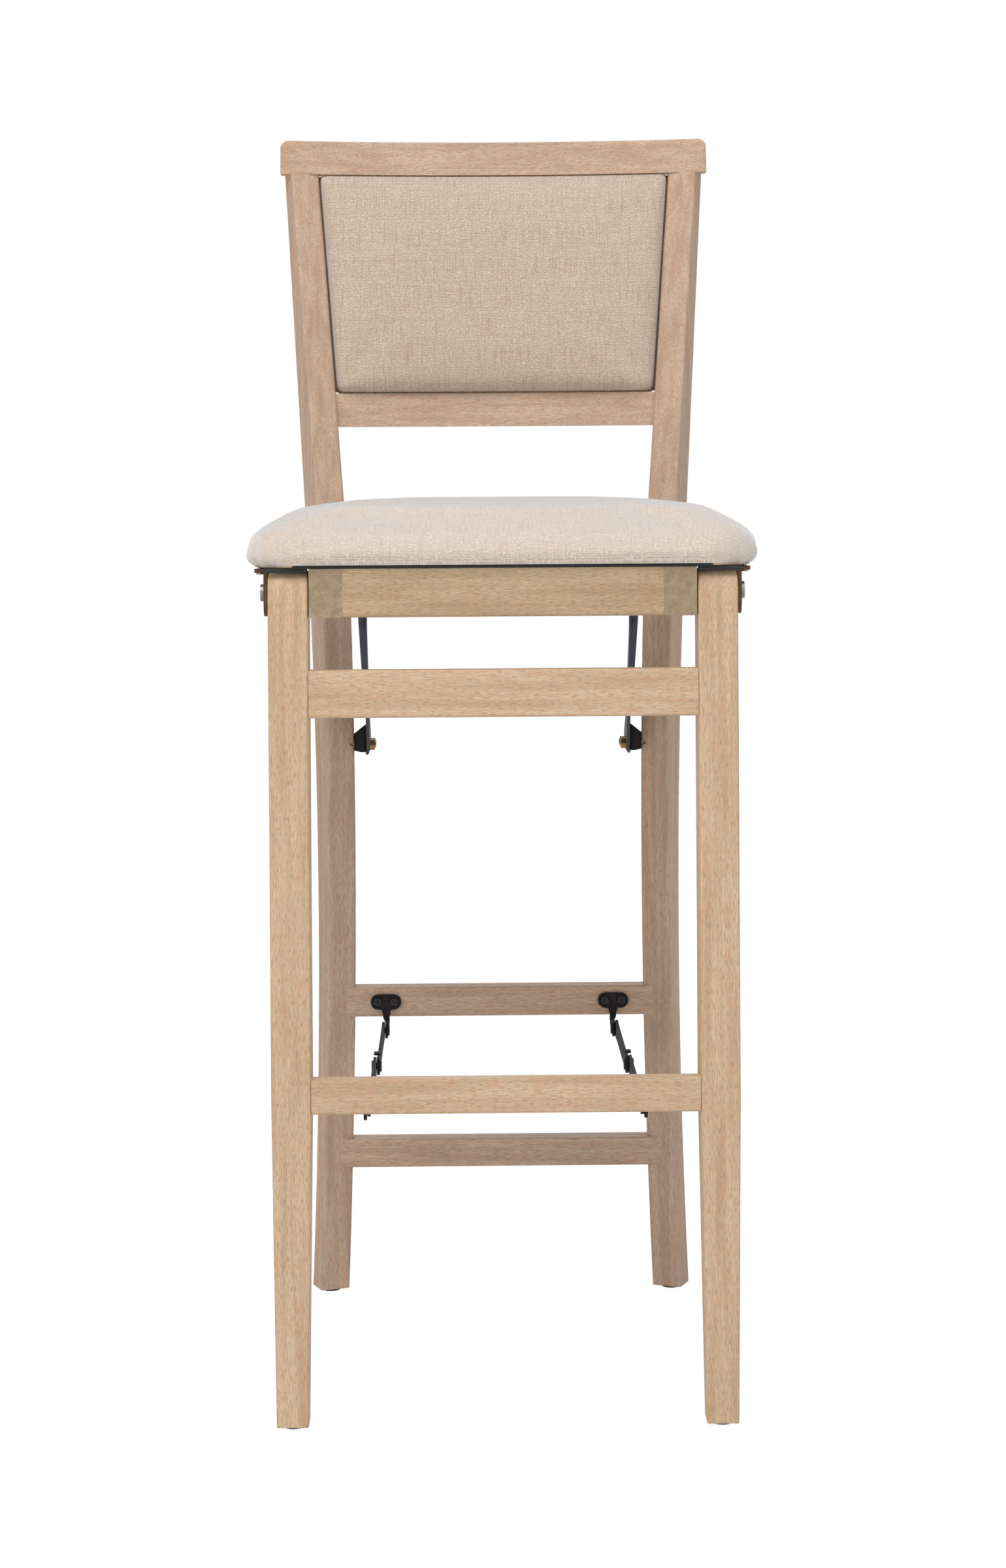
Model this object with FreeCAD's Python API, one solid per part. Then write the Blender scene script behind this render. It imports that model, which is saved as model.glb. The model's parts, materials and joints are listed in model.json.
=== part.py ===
import FreeCAD, Part
import math
import os

# Folding bar stool with a padded seat and back. Millimetres, +Z up, the front faces -Y.
# While it is modelled, y is 0 at the front face of the front legs and z is 0 at the floor.
# At the end everything moves so that the origin is under the middle of the whole stool.

# Front legs
leg_outer = 192.0
leg_width = 32.8
leg_depth = 37.0
leg_edge = 2.0
leg_taper_start = 272.0
foot_outer_taper = 2.7
foot_inner_taper = 3.9
foot_rear_taper = 7.0
glide_height = 3.0
glide_radius = 9.0

# Front stretchers
front_board = 17.0
front_stretcher_bottom = 583.0
front_stretcher_height = 39.0
footrest_bottom = 259.0
footrest_height = 28.5
board_edge = 2.0

# Rear posts: a straight lower stretch, a knee, and a straight reclined stretch
post_width = 28.5
post_yaw = 22.0
post_edge = 2.5
post_top = 1077.0
knee_low = 620.0
knee_high = 735.0
waist_z = 350.0
post_x_foot = 163.7
post_x_waist = 155.2
post_x_knee = 158.0
post_x_top = 187.2
post_y_foot = 452.0
post_y_waist = 445.5
post_y_knee = 440.0
post_y_top = 510.0
post_depth_foot = 27.0
post_depth_waist = 30.0
post_depth_knee = 38.0
post_depth_top = 21.6

# Rear rails and stretchers
top_rail_height = 33.0
top_rail_length = 415.0
top_rail_thick = 21.0
top_rail_corner = 8.0
bow_radius = 870.0
back_rail_bottom = 830.0
back_rail_height = 32.0
back_rail_thick = 18.0
rear_board = 24.0
rear_upper_bottom = 265.0
rear_upper_height = 28.0
rear_lower_bottom = 120.0
rear_lower_height = 27.0

# Back pad
pad_side_gap = 1.6
pad_rail_gap = 1.0
back_board_thick = 6.0
back_panel_thick = 3.0
back_pad_crown = 27.0
back_pad_edge = 15.0

# Seat
seat_bottom = 706.0
seat_board_thick = 12.0
seat_board_inset = 8.0
seat_front = -8.0
seat_rear = 392.0
seat_half_width = 212.5
seat_crown = 762.0
seat_corner = 46.0
dust_cover_thick = 1.2
apron_bottom = 665.0
apron_thick = 18.0
rail_inner = 131.0
rail_height = 19.8
rail_block_length = 34.0
rail_rear_margin = 6.0
rail_screw_first = 60.0
rail_screw_last = 310.0
rail_screw_bite = 9.0

# Clearances
running = 0.05
slide_gap = 0.4
leg_side_gap = 0.8

# Leg pivots
leg_pivot_z = 685.1
bolt_radius = 4.0
sleeve_wall = 2.0
plate_thick = 3.2
plate_half_depth = 12.0
plate_drop = 39.0
plate_flange = 11.0
plate_flange_front = 4.0
plate_screw_head = 3.5
plate_screw_radius = 1.8
plate_screw_edge = 4.5
plate_screw_bite = 8.0
bolt_head_radius = 7.0
bolt_head_thick = 3.0

# Seat pivots and their arms
seat_pivot_y = 352.0
seat_pivot_z = 694.9
arm_inner = 122.0
arm_thick = 3.0
arm_eye = 9.0
arm_turn_z = 645.0
arm_foot_z = 526.0
arm_foot_y = 428.0
arm_bolt_pitch = 20.0
arm_foot_reach = 10.5
arm_flange_thick = 2.5
arm_flange_width = 6.5
arm_hole_radius = 3.0
arm_bolt_radius = 3.0
nut_radius = 5.5
nut_thick = 4.5
bracket_wall = 3.0
bracket_screw_head = 3.5
bracket_screw_radius = 1.8
bracket_screw_length = 18.0

# Braces
brace_z = 258.0
brace_rear_y = 400.0
brace_front_y = 38.0
brace_thick = 2.5
brace_half_width = 8.0
brace_inner = 109.0
brace_gap = 0.5
rivet_radius = 3.0
rivet_head_radius = 5.0
rivet_head_thick = 1.6
open_pivot_radius = 8.0
ear_radius = 11.0
ear_thick = 2.5
brace_plate_width = 29.0
brace_plate_height = 15.0
brace_plate_thick = 2.5
brace_plate_z = 279.5
brace_screw_pitch = 16.0
screw_head_radius = 4.0
screw_shank_radius = 2.0
screw_length = 16.0
bracket_height = 24.0
bracket_width = 14.0

parts = {}


def box(x0, x1, y0, y1, z0, z1):
    return Part.makeBox(x1 - x0, y1 - y0, z1 - z0, FreeCAD.Vector(x0, y0, z0))


def rod_x(radius, x0, x1, y, z):
    low, high = min(x0, x1), max(x0, x1)
    return Part.makeCylinder(radius, high - low, FreeCAD.Vector(low, y, z), FreeCAD.Vector(1, 0, 0))


def rod_y(radius, x, y0, y1, z):
    return Part.makeCylinder(radius, y1 - y0, FreeCAD.Vector(x, y0, z), FreeCAD.Vector(0, 1, 0))


def side_plate(points, x0, x1):
    """A flat plate between x0 and x1, cut to an outline of (y, z) points."""
    low, high = min(x0, x1), max(x0, x1)
    outline = [FreeCAD.Vector(low, y, z) for y, z in points]
    face = Part.Face(Part.makePolygon(outline + outline[:1]))
    return face.extrude(FreeCAD.Vector(high - low, 0, 0))


def mirrored(shape):
    return shape.mirror(FreeCAD.Vector(0, 0, 0), FreeCAD.Vector(1, 0, 0))


def both_sides(shape):
    return Part.makeCompound([shape, mirrored(shape)])


def add_pair(name, right):
    parts[name + "_right"] = right
    parts[name + "_left"] = mirrored(right)


def rounded(shape, radius, wanted):
    """The shape with the edges that the test picks rounded off."""
    return shape.makeFillet(radius, [edge for edge in shape.Edges if wanted(edge)])


def runs_along(edge, axis):
    ends = [v.Point for v in edge.Vertexes]
    if len(ends) < 2:
        return False
    span = ends[1] - ends[0]
    return abs(getattr(span, axis)) > 0.9 * span.Length


def rounded_rectangle(cx, cy, z, width, depth, corner, yaw=0.0):
    """A closed wire at height z: four lines and four quarter circles."""
    hw, hd = width / 2, depth / 2
    corners = [(hw - corner, hd - corner, 0), (-(hw - corner), hd - corner, 90),
               (-(hw - corner), -(hd - corner), 180), (hw - corner, -(hd - corner), 270)]
    edges = []
    ends = []
    for x, y, start in corners:
        arc = []
        for step in (0, 45, 90):
            angle = math.radians(start + step)
            arc.append(FreeCAD.Vector(x + corner * math.cos(angle), y + corner * math.sin(angle), 0))
        ends.append(arc)
    for index, arc in enumerate(ends):
        edges.append(Part.Arc(*arc).toShape())
        edges.append(Part.LineSegment(arc[2], ends[(index + 1) % 4][0]).toShape())
    wire = Part.Wire(edges)
    wire.rotate(FreeCAD.Vector(0, 0, 0), FreeCAD.Vector(0, 0, 1), yaw)
    wire.translate(FreeCAD.Vector(cx, cy, z))
    return wire


def mix(a, b, share):
    return a + (b - a) * share


def upper_slope(foot, waist, knee, top):
    """Slope of the straight upper stretch, so that the knee runs smoothly into it."""
    bend = knee_high - knee_low
    return (top - knee - bend * knee_slope(foot, waist, knee) / 2) / (post_top - knee_high + bend / 2)


def knee_slope(foot, waist, knee):
    """Slope at the knee of the parabola through the foot, the waist and the knee."""
    first = (waist - foot) / waist_z
    second = ((knee - foot) / knee_low - first) / (knee_low - waist_z)
    return first + second * (2 * knee_low - waist_z)


def along_post(z, foot, waist, knee, top):
    """A size of the post at height z: a parabola, then a bend, then a straight stretch."""
    if z <= knee_low:
        first = (waist - foot) / waist_z
        second = ((knee - foot) / knee_low - first) / (knee_low - waist_z)
        return foot + first * z + second * z * (z - waist_z)
    low, high = knee_slope(foot, waist, knee), upper_slope(foot, waist, knee, top)
    bend = knee_high - knee_low
    into = min(z, knee_high) - knee_low
    value = knee + low * into + (high - low) * into ** 2 / (2 * bend)
    return value + high * max(0.0, z - knee_high)


def post_at(z):
    """Centre x, centre y and depth of a right-hand post at height z."""
    return (along_post(z, post_x_foot, post_x_waist, post_x_knee, post_x_top),
            along_post(z, post_y_foot, post_y_waist, post_y_knee, post_y_top),
            along_post(z, post_depth_foot, post_depth_waist, post_depth_knee, post_depth_top))


def post_inner_x(z):
    """How near the middle the turned post comes at height z."""
    x, y, depth = post_at(z)
    yaw = math.radians(post_yaw)
    return x - post_width / 2 * math.cos(yaw) - depth / 2 * math.sin(yaw)


lean = upper_slope(post_y_foot, post_y_waist, post_y_knee, post_y_top)


def rear_post():
    heights = [mix(glide_height, knee_low, step / 6) for step in range(6)]
    heights += [mix(knee_low, knee_high, step / 3) for step in range(3)]
    heights += [mix(knee_high, post_top, step / 5) for step in range(6)]
    sections = []
    for z in heights:
        x, y, depth = post_at(z)
        sections.append(rounded_rectangle(x, y, z, post_width, depth, post_edge, -post_yaw))
    return Part.makeLoft(sections, True, False)


def bowed_slab(through_x, through_y, z0, z1, half_length, thick, front_offset=0.0):
    """A board bowed in plan that leans back with the posts. At z0 its middle line passes
    through (through_x, through_y)."""
    centre_y = through_y - math.sqrt(bow_radius ** 2 - through_x ** 2)
    outer = bow_radius + thick / 2 - front_offset
    inner = bow_radius - thick / 2 - front_offset
    swing = math.asin(half_length / outer) * 1.05

    def on_circle(radius, angle):
        return FreeCAD.Vector(radius * math.sin(angle), centre_y + radius * math.cos(angle), z0)

    far = Part.Arc(on_circle(outer, -swing), on_circle(outer, 0), on_circle(outer, swing)).toShape()
    near = Part.Arc(on_circle(inner, swing), on_circle(inner, 0), on_circle(inner, -swing)).toShape()
    right = Part.LineSegment(on_circle(outer, swing), on_circle(inner, swing)).toShape()
    left = Part.LineSegment(on_circle(inner, -swing), on_circle(outer, -swing)).toShape()
    face = Part.Face(Part.Wire([far, right, near, left]))
    slab = face.extrude(FreeCAD.Vector(0, lean * (z1 - z0), z1 - z0))
    reach = outer * 2
    keep = box(-half_length, half_length, centre_y, centre_y + reach, z0, z1)
    return slab.common(keep)


def top_rail():
    x, y, depth = post_at(post_top)
    z1 = post_top + top_rail_height
    half = top_rail_length / 2
    slab = bowed_slab(x, y, post_top, z1, half, top_rail_thick)

    def on_top(edge):
        return edge.BoundBox.ZMin > z1 - 0.5

    slab = rounded(slab, top_rail_corner, lambda edge: on_top(edge) and edge.BoundBox.XLength < 1)
    return rounded(slab, board_edge, lambda edge: on_top(edge) and edge.BoundBox.XLength > half)


def back_rail(posts):
    x, y, depth = post_at(back_rail_bottom)
    z1 = back_rail_bottom + back_rail_height
    slab = bowed_slab(x, y, back_rail_bottom, z1, x, back_rail_thick)
    return slab.cut(posts)


def rear_stretcher(bottom, height, posts):
    x, y, depth = post_at(bottom + height / 2)
    bar = box(-x, x, y - rear_board / 2, y + rear_board / 2, bottom, bottom + height)
    bar = rounded(bar, board_edge, lambda edge: runs_along(edge, "x"))
    return bar.cut(posts)


pad_bottom = back_rail_bottom + back_rail_height + pad_rail_gap
pad_top = post_top - pad_rail_gap


def pad_half_width(z):
    return post_inner_x(z) - pad_side_gap


def pad_outline(y0, y1):
    """The upright trapezoid that the back pad fills between the posts."""
    z0, z1 = back_rail_bottom + back_rail_height, post_top
    low, high = pad_half_width(z0), pad_half_width(z1)
    points = [(-low, z0), (low, z0), (high, z1), (-high, z1)]
    outline = [FreeCAD.Vector(x, y0, z) for x, z in points]
    return Part.Face(Part.makePolygon(outline + outline[:1])).extrude(FreeCAD.Vector(0, y1 - y0, 0))


def bow_y(x, z):
    """Middle line of the bowed pad at a height between the knee and the top."""
    px, py, depth = post_at(pad_bottom)
    sagged = math.sqrt(bow_radius ** 2 - x ** 2) - math.sqrt(bow_radius ** 2 - px ** 2)
    return py + sagged + lean * (z - pad_bottom)


def back_layer(thick, offset, z0, z1):
    """A bowed sheet of the pad, offset forward from the middle line of the back."""
    slab = bowed_slab(0, bow_y(0, z0), z0, z1, pad_half_width(pad_top), thick, offset)
    return slab.common(pad_outline(0, seat_rear * 2))


def back_cushion():
    """The crowned front of the pad: upright sections along the bow, thin at the sides."""
    half = pad_half_width(pad_top)
    face = back_board_thick / 2
    sections = []
    for step in (-1.0, -0.82, -0.45, 0.0, 0.45, 0.82, 1.0):
        x = step * half
        crown = mix(back_pad_crown, back_pad_edge, step ** 4)
        rim = mix(back_pad_edge, back_pad_edge * 0.7, step ** 4)
        middle = (pad_bottom + pad_top) / 2
        low_back = FreeCAD.Vector(x, bow_y(x, pad_bottom) - face, pad_bottom)
        high_back = FreeCAD.Vector(x, bow_y(x, pad_top) - face, pad_top)
        low_front = low_back - FreeCAD.Vector(0, rim, 0)
        high_front = high_back - FreeCAD.Vector(0, rim, 0)
        belly = FreeCAD.Vector(x, bow_y(x, middle) - face - crown, middle)
        sections.append(Part.Wire([
            Part.LineSegment(low_back, high_back).toShape(),
            Part.LineSegment(high_back, high_front).toShape(),
            Part.Arc(high_front, belly, low_front).toShape(),
            Part.LineSegment(low_front, low_back).toShape()]))
    pad = Part.makeLoft(sections, True, False)
    return pad.common(pad_outline(0, seat_rear * 2)).cut(parts["back_board"])


def seat_board():
    half = seat_half_width - seat_board_inset
    board = box(-half, half, seat_front + seat_board_inset, seat_rear - seat_board_inset,
                seat_bottom, seat_bottom + seat_board_thick)
    return rounded(board, seat_corner - seat_board_inset, lambda edge: runs_along(edge, "z"))


def seat_cushion(board):
    """The crowned seat pad, whose cover wraps down over the board's edges."""
    bulge_z = mix(seat_bottom, seat_crown, 0.24)
    # height, how far the outline is drawn in from the widest line, corner radius
    levels = [(seat_bottom, 4.5, seat_corner - 4), (bulge_z, 0.0, seat_corner),
              (mix(seat_bottom, seat_crown, 0.47), 5.0, seat_corner),
              (mix(seat_bottom, seat_crown, 0.70), 21.0, seat_corner),
              (mix(seat_bottom, seat_crown, 0.88), 58.0, seat_corner),
              (mix(seat_bottom, seat_crown, 0.97), 104.0, seat_corner),
              (seat_crown, 150.0, seat_corner * 0.8)]
    middle = (seat_front + seat_rear) / 2
    sections = []
    for z, inset, corner in levels:
        sections.append(rounded_rectangle(0, middle, z, 2 * (seat_half_width - inset),
                                          seat_rear - seat_front - 2 * inset, corner))
    return Part.makeLoft(sections, True, False).cut(board)


rail_outer = leg_outer - leg_width - leg_side_gap


def seat_rail():
    """A rail under the board with a full-height block at the front that takes the leg pivot."""
    top = seat_bottom - dust_cover_thick
    rear = seat_rear - seat_board_inset - rail_rear_margin
    rail = box(rail_inner, rail_outer, 0, rear, top - rail_height, top)
    block = box(rail_inner, rail_outer, 0, rail_block_length, apron_bottom, top)
    rail = rail.fuse(block).removeSplitter()
    rail = rail.cut(rod_x(bolt_radius, bolt_tip_x, rail_outer, leg_depth / 2, leg_pivot_z))
    return rail.cut(rod_x(bolt_radius + running, rail_inner, seat_bolt_tip_x + 1, seat_pivot_y, seat_pivot_z))


bolt_tip_x = rail_inner + 9.0
seat_bolt_tip_x = rail_inner + 20.0


def rail_screws():
    """Screws driven up through a rail into the board, clear of the folded front stretcher."""
    x = (rail_inner + rail_outer) / 2
    z = seat_bottom - dust_cover_thick - rail_height
    screws = []
    for share in (0.0, 0.5, 1.0):
        y = mix(rail_screw_first, rail_screw_last, share)
        screw = wood_screw(x, y, z, length=rail_height + dust_cover_thick + rail_screw_bite)
        screws.append(turn_to_up(screw, x, y, z))
    return screws


def plate_screw():
    """The screw driven up through the flange of a leg's hinge plate into the board."""
    x = leg_outer + slide_gap + (plate_thick + plate_flange) / 2
    y = leg_depth / 2 + plate_half_depth - plate_screw_edge
    z = seat_bottom - dust_cover_thick - plate_thick
    length = plate_thick + dust_cover_thick + plate_screw_bite
    return turn_to_up(wood_screw(x, y, z, plate_screw_head, plate_screw_radius, length), x, y, z)


def leg_hinge_plate():
    """An angle plate outside the leg top: one wing under the board, one down to the pivot."""
    inner = leg_outer + slide_gap
    outer = inner + plate_thick
    top = seat_bottom - dust_cover_thick
    middle = leg_depth / 2
    bottom = top - plate_drop + plate_half_depth
    wing = box(inner, outer, middle - plate_half_depth, middle + plate_half_depth, bottom, top)
    toe = rod_x(plate_half_depth, inner, outer, middle, bottom)
    flange = box(inner, inner + plate_flange, middle - plate_flange_front, middle + plate_half_depth,
                 top - plate_thick, top)
    plate = wing.fuse([toe, flange]).removeSplitter()
    return plate.cut(rod_x(bolt_radius, inner, outer, middle, leg_pivot_z))


def hex_head(radius, x0, x1, y, z):
    low, high = min(x0, x1), max(x0, x1)
    points = [(y + radius * math.cos(math.radians(60 * k)), z + radius * math.sin(math.radians(60 * k)))
              for k in range(6)]
    return side_plate(points, low, high)


def leg_pivot_bolt():
    head_x = leg_outer + slide_gap + plate_thick
    shank = rod_x(bolt_radius, bolt_tip_x, head_x, leg_depth / 2, leg_pivot_z)
    head = rod_x(bolt_head_radius, head_x, head_x + bolt_head_thick, leg_depth / 2, leg_pivot_z)
    return shank.fuse(head).removeSplitter()


def leg_sleeve():
    inner, outer = leg_outer - leg_width, leg_outer
    tube = rod_x(bolt_radius + sleeve_wall, inner, outer, leg_depth / 2, leg_pivot_z)
    return tube.cut(rod_x(bolt_radius + running, inner, outer, leg_depth / 2, leg_pivot_z))


def front_leg():
    """A square leg with a half-round top about its pivot, tapered below the footrest."""
    inner, outer = leg_outer - leg_width, leg_outer
    centre, middle = (inner + outer) / 2, leg_depth / 2
    foot_width = leg_width - foot_inner_taper - foot_outer_taper
    foot_centre = centre + (foot_inner_taper - foot_outer_taper) / 2
    foot_depth = leg_depth - foot_rear_taper
    foot = rounded_rectangle(foot_centre, foot_depth / 2, glide_height, foot_width, foot_depth, leg_edge)
    break_line = rounded_rectangle(centre, middle, leg_taper_start, leg_width, leg_depth, leg_edge)
    shank = Part.makeLoft([foot, break_line], True, True)
    straight = Part.Face(break_line).extrude(FreeCAD.Vector(0, 0, leg_pivot_z - leg_taper_start))
    disc = rod_x(middle, inner, outer, middle, leg_pivot_z)
    disc = rounded(disc, leg_edge, lambda edge: edge.BoundBox.XLength < 0.1)
    crown = disc.common(box(inner, outer, 0, leg_depth, leg_pivot_z, leg_pivot_z + leg_depth))
    leg = straight.fuse([shank, crown])
    return leg.cut(rod_x(bolt_radius + sleeve_wall, inner, outer, middle, leg_pivot_z))


def front_bar(bottom, height):
    half = leg_outer - leg_width
    bar = box(-half, half, 0, front_board, bottom, bottom + height)
    return rounded(bar, board_edge, lambda edge: runs_along(edge, "x"))


def foot_glide(x, y):
    disc = Part.makeCylinder(glide_radius, glide_height, FreeCAD.Vector(x, y, 0))
    return disc.makeFillet(glide_height / 3, [edge for edge in disc.Edges if edge.BoundBox.ZMax < 0.01])


def wood_screw(x, y, z, head_radius=screw_head_radius, shank=screw_shank_radius, length=screw_length):
    """A screw driven towards +Y with a low domed, cross-slotted head in front of y."""
    head_thick = head_radius / 2.2
    head = rod_y(head_radius, x, y - head_thick, y, z)
    head = rounded(head, head_thick * 0.6, lambda edge: edge.BoundBox.YMax < y - head_thick + 0.01)
    arm = head_radius * 1.1
    slot = head_radius * 0.14
    cross = box(x - arm / 2, x + arm / 2, y - head_thick, y - head_thick * 0.4, z - slot, z + slot)
    cross = cross.fuse(box(x - slot, x + slot, y - head_thick, y - head_thick * 0.4, z - arm / 2, z + arm / 2))
    return head.cut(cross).fuse(rod_y(shank, x, y, y + length, z)).removeSplitter()


def turn_to_up(shape, x, y, z):
    """Turns a screw that was driven towards +Y so that it is driven towards +Z."""
    turned = shape.copy()
    turned.rotate(FreeCAD.Vector(x, y, z), FreeCAD.Vector(1, 0, 0), 90)
    return turned


def turn_to_out(shape, x, y, z):
    """Turns a screw that was driven towards +Y so that it is driven towards +X."""
    turned = shape.copy()
    turned.rotate(FreeCAD.Vector(x, y, z), FreeCAD.Vector(0, 0, 1), -90)
    return turned


def hinge_arm():
    """The stamped arm that carries the seat: an eye at the top, straight down behind the
    folded front frame, then back to the bracket on the post. Its front edge is flanged."""
    inner, outer = arm_inner, arm_inner + arm_thick
    y, z = seat_pivot_y, seat_pivot_z
    foot_rear = arm_foot_y + arm_bolt_pitch + arm_foot_reach
    foot_low, foot_high = arm_foot_z - arm_foot_reach, arm_foot_z + arm_foot_reach
    web = side_plate([(y - arm_eye, z), (y - arm_eye, arm_turn_z), (arm_foot_y - arm_foot_reach, foot_low + 4),
                      (arm_foot_y - arm_foot_reach + 4, foot_low), (foot_rear, foot_low), (foot_rear, foot_high),
                      (arm_foot_y + 6, foot_high + 14), (y + arm_eye, arm_turn_z - 6), (y + arm_eye, z)],
                     inner, outer)
    web = web.fuse(rod_x(arm_eye, inner, outer, y, z)).removeSplitter()
    slope_top = (y - arm_eye, arm_turn_z)
    slope_end = (arm_foot_y - arm_foot_reach, foot_low + 4)
    start = (mix(slope_top[0], slope_end[0], 0.04), mix(slope_top[1], slope_end[1], 0.04))
    end = (mix(slope_top[0], slope_end[0], 0.80), mix(slope_top[1], slope_end[1], 0.80))
    flange = side_plate([start, end, (end[0] + arm_flange_thick, end[1]), (start[0] + arm_flange_thick, start[1])],
                        inner - arm_flange_width + arm_thick, inner)
    # the flange narrows towards its lower end
    cutter = Part.Face(Part.makePolygon([
        FreeCAD.Vector(inner - arm_flange_width, 0, start[1] - 45), FreeCAD.Vector(inner - 0.6, 0, end[1] - 1),
        FreeCAD.Vector(inner - arm_flange_width, 0, end[1] - 1),
        FreeCAD.Vector(inner - arm_flange_width, 0, start[1] - 45)])).extrude(FreeCAD.Vector(0, seat_rear * 2, 0))
    arm = web.fuse(flange.cut(cutter)).removeSplitter()
    arm = arm.cut(rod_x(bolt_radius, inner, outer, y, z))
    arm = arm.cut(rod_x(arm_hole_radius, inner, outer, y, arm_turn_z + 6))
    for step in (0, arm_bolt_pitch):
        arm = arm.cut(rod_x(arm_bolt_radius, inner, outer, arm_foot_y + step, arm_foot_z))
    return arm


def seat_pivot_bolt():
    head_x = arm_inner
    shank = rod_x(bolt_radius, head_x, seat_bolt_tip_x, seat_pivot_y, seat_pivot_z)
    head = rod_x(bolt_head_radius, head_x - bolt_head_thick, head_x, seat_pivot_y, seat_pivot_z)
    collar = rod_x(bolt_radius + 2, arm_inner + arm_thick, rail_inner - slide_gap, seat_pivot_y, seat_pivot_z)
    return shank.fuse([head, collar]).removeSplitter()


def arm_bracket(post):
    """The bracket between an arm's foot and the post, shaped to the turned face of the post."""
    x, y, depth = post_at(arm_foot_z)
    inner = arm_inner + arm_thick
    y0, y1 = arm_foot_y - arm_foot_reach, arm_foot_y + arm_bolt_pitch + arm_foot_reach
    z0, z1 = arm_foot_z - arm_foot_reach, arm_foot_z + arm_foot_reach
    block = box(inner, x, y0, y1, z0, z1)
    hollow = box(inner + bracket_wall, bracket_base_x(), y0 + bracket_wall, y1 - bracket_wall,
                 z0 + bracket_wall, z1)
    shell = block.cut(hollow)
    for bolt in arm_bolts():
        shell = shell.cut(bolt)
    return min(shell.cut(post).Solids, key=lambda solid: solid.CenterOfMass.x)


def bracket_base_x():
    return post_inner_x(arm_foot_z) - bracket_wall


def arm_bracket_screws():
    """Wood screws from inside the bracket into the post."""
    screws = []
    for y in (arm_foot_y + 3, arm_foot_y + arm_bolt_pitch - 3):
        x = bracket_base_x()
        screw = wood_screw(x, y, arm_foot_z, bracket_screw_head, bracket_screw_radius, bracket_screw_length)
        screws.append(turn_to_out(screw, x, y, arm_foot_z))
    return screws


def arm_bolts():
    """Bolts through the arm's foot and the bracket's wall, heads inside the bracket."""
    inner = arm_inner + arm_thick + bracket_wall
    bolts = []
    for step in (0, arm_bolt_pitch):
        y = arm_foot_y + step
        shank = rod_x(arm_bolt_radius, arm_inner - nut_thick - 1, inner, y, arm_foot_z)
        bolts.append(shank.fuse(rod_x(arm_bolt_radius + 2, inner, inner + 2, y, arm_foot_z)).removeSplitter())
    return bolts


def arm_locknuts():
    nuts = []
    for step in (0, arm_bolt_pitch):
        y = arm_foot_y + step
        nut = hex_head(nut_radius, arm_inner - nut_thick, arm_inner, y, arm_foot_z)
        nuts.append(nut.cut(rod_x(arm_bolt_radius, arm_inner - nut_thick, arm_inner, y, arm_foot_z)))
    return nuts


stretcher_face_y = post_at(rear_upper_bottom + rear_upper_height / 2)[1] - rear_board / 2


def brace_plate():
    """A flat plate with round ends and a tongue that drops to the rear pivot of the brace."""
    middle = brace_inner - 0.4
    y0, y1 = stretcher_face_y - brace_plate_thick, stretcher_face_y
    r = brace_plate_height / 2
    half = brace_plate_width / 2
    z = brace_plate_z
    plate = box(middle - half + r, middle + half - r, y0, y1, z - r, z + r)
    plate = plate.fuse([rod_y(r, middle - half + r, y0, y1, z), rod_y(r, middle + half - r, y0, y1, z)])
    tongue_x1 = brace_inner - slide_gap
    tongue_x0 = tongue_x1 - ear_thick
    drop = box(tongue_x0, tongue_x1 + 4, y0, y1, brace_z - 6, z)
    tongue = side_plate([(y1, brace_z - 6), (y1, brace_z + 8), (brace_rear_y, brace_z + 7.5),
                         (brace_rear_y, brace_z - 7.5), (y0, brace_z - 7.5)], tongue_x0, tongue_x1)
    tongue = tongue.fuse(rod_x(7.5, tongue_x0, tongue_x1, brace_rear_y, brace_z))
    plate = plate.fuse([drop, tongue]).removeSplitter()
    for side in (-1, 1):
        plate = plate.cut(rod_y(screw_shank_radius, middle + side * brace_screw_pitch / 2, y0, y1, z))
    return plate.cut(rod_x(rivet_radius, tongue_x0, tongue_x1, brace_rear_y, brace_z))


def brace_plate_screws():
    middle = brace_inner - 0.4
    y0 = stretcher_face_y - brace_plate_thick
    return [wood_screw(middle + side * brace_screw_pitch / 2, y0, brace_plate_z) for side in (-1, 1)]


elbow_y = (brace_rear_y + brace_front_y) / 2
rear_arm_x = (brace_inner, brace_inner + brace_thick)
front_arm_x = (rear_arm_x[1] + brace_gap, rear_arm_x[1] + brace_gap + brace_thick)
ear_x = (front_arm_x[1] + brace_gap, front_arm_x[1] + brace_gap + ear_thick)


def flat_arm(x_span, y0, y1):
    """A flat bar with round ends and two eyes, a little slimmer between them."""
    x0, x1 = x_span
    r = brace_half_width
    waist = r - 1.5
    bar = side_plate([(y0, brace_z - r), (y0 + 30, brace_z - waist), (y1 - 30, brace_z - waist),
                      (y1, brace_z - r), (y1, brace_z + r), (y1 - 30, brace_z + waist),
                      (y0 + 30, brace_z + waist), (y0, brace_z + r)], x0, x1)
    return bar.fuse([rod_x(r, x0, x1, y0, brace_z), rod_x(r, x0, x1, y1, brace_z)]).removeSplitter()


def rear_brace_arm():
    arm = flat_arm(rear_arm_x, elbow_y, brace_rear_y)
    arm = arm.cut(rod_x(rivet_radius + running, *rear_arm_x, brace_rear_y, brace_z))
    # the stop tab over the joint, bent across the edge of the other arm
    tab = box(rear_arm_x[0], front_arm_x[1], elbow_y + 11, elbow_y + 19,
              brace_z + brace_half_width - 0.6, brace_z + brace_half_width + 1.6)
    arm = arm.fuse(tab).removeSplitter()
    return arm.cut(rod_x(rivet_radius, *rear_arm_x, elbow_y, brace_z))


def front_brace_arm():
    arm = flat_arm(front_arm_x, brace_front_y, elbow_y)
    arm = arm.cut(rod_x(rivet_radius, *front_arm_x, brace_front_y, brace_z))
    return arm.cut(rod_x(rivet_radius + running, *front_arm_x, elbow_y, brace_z))


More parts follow.
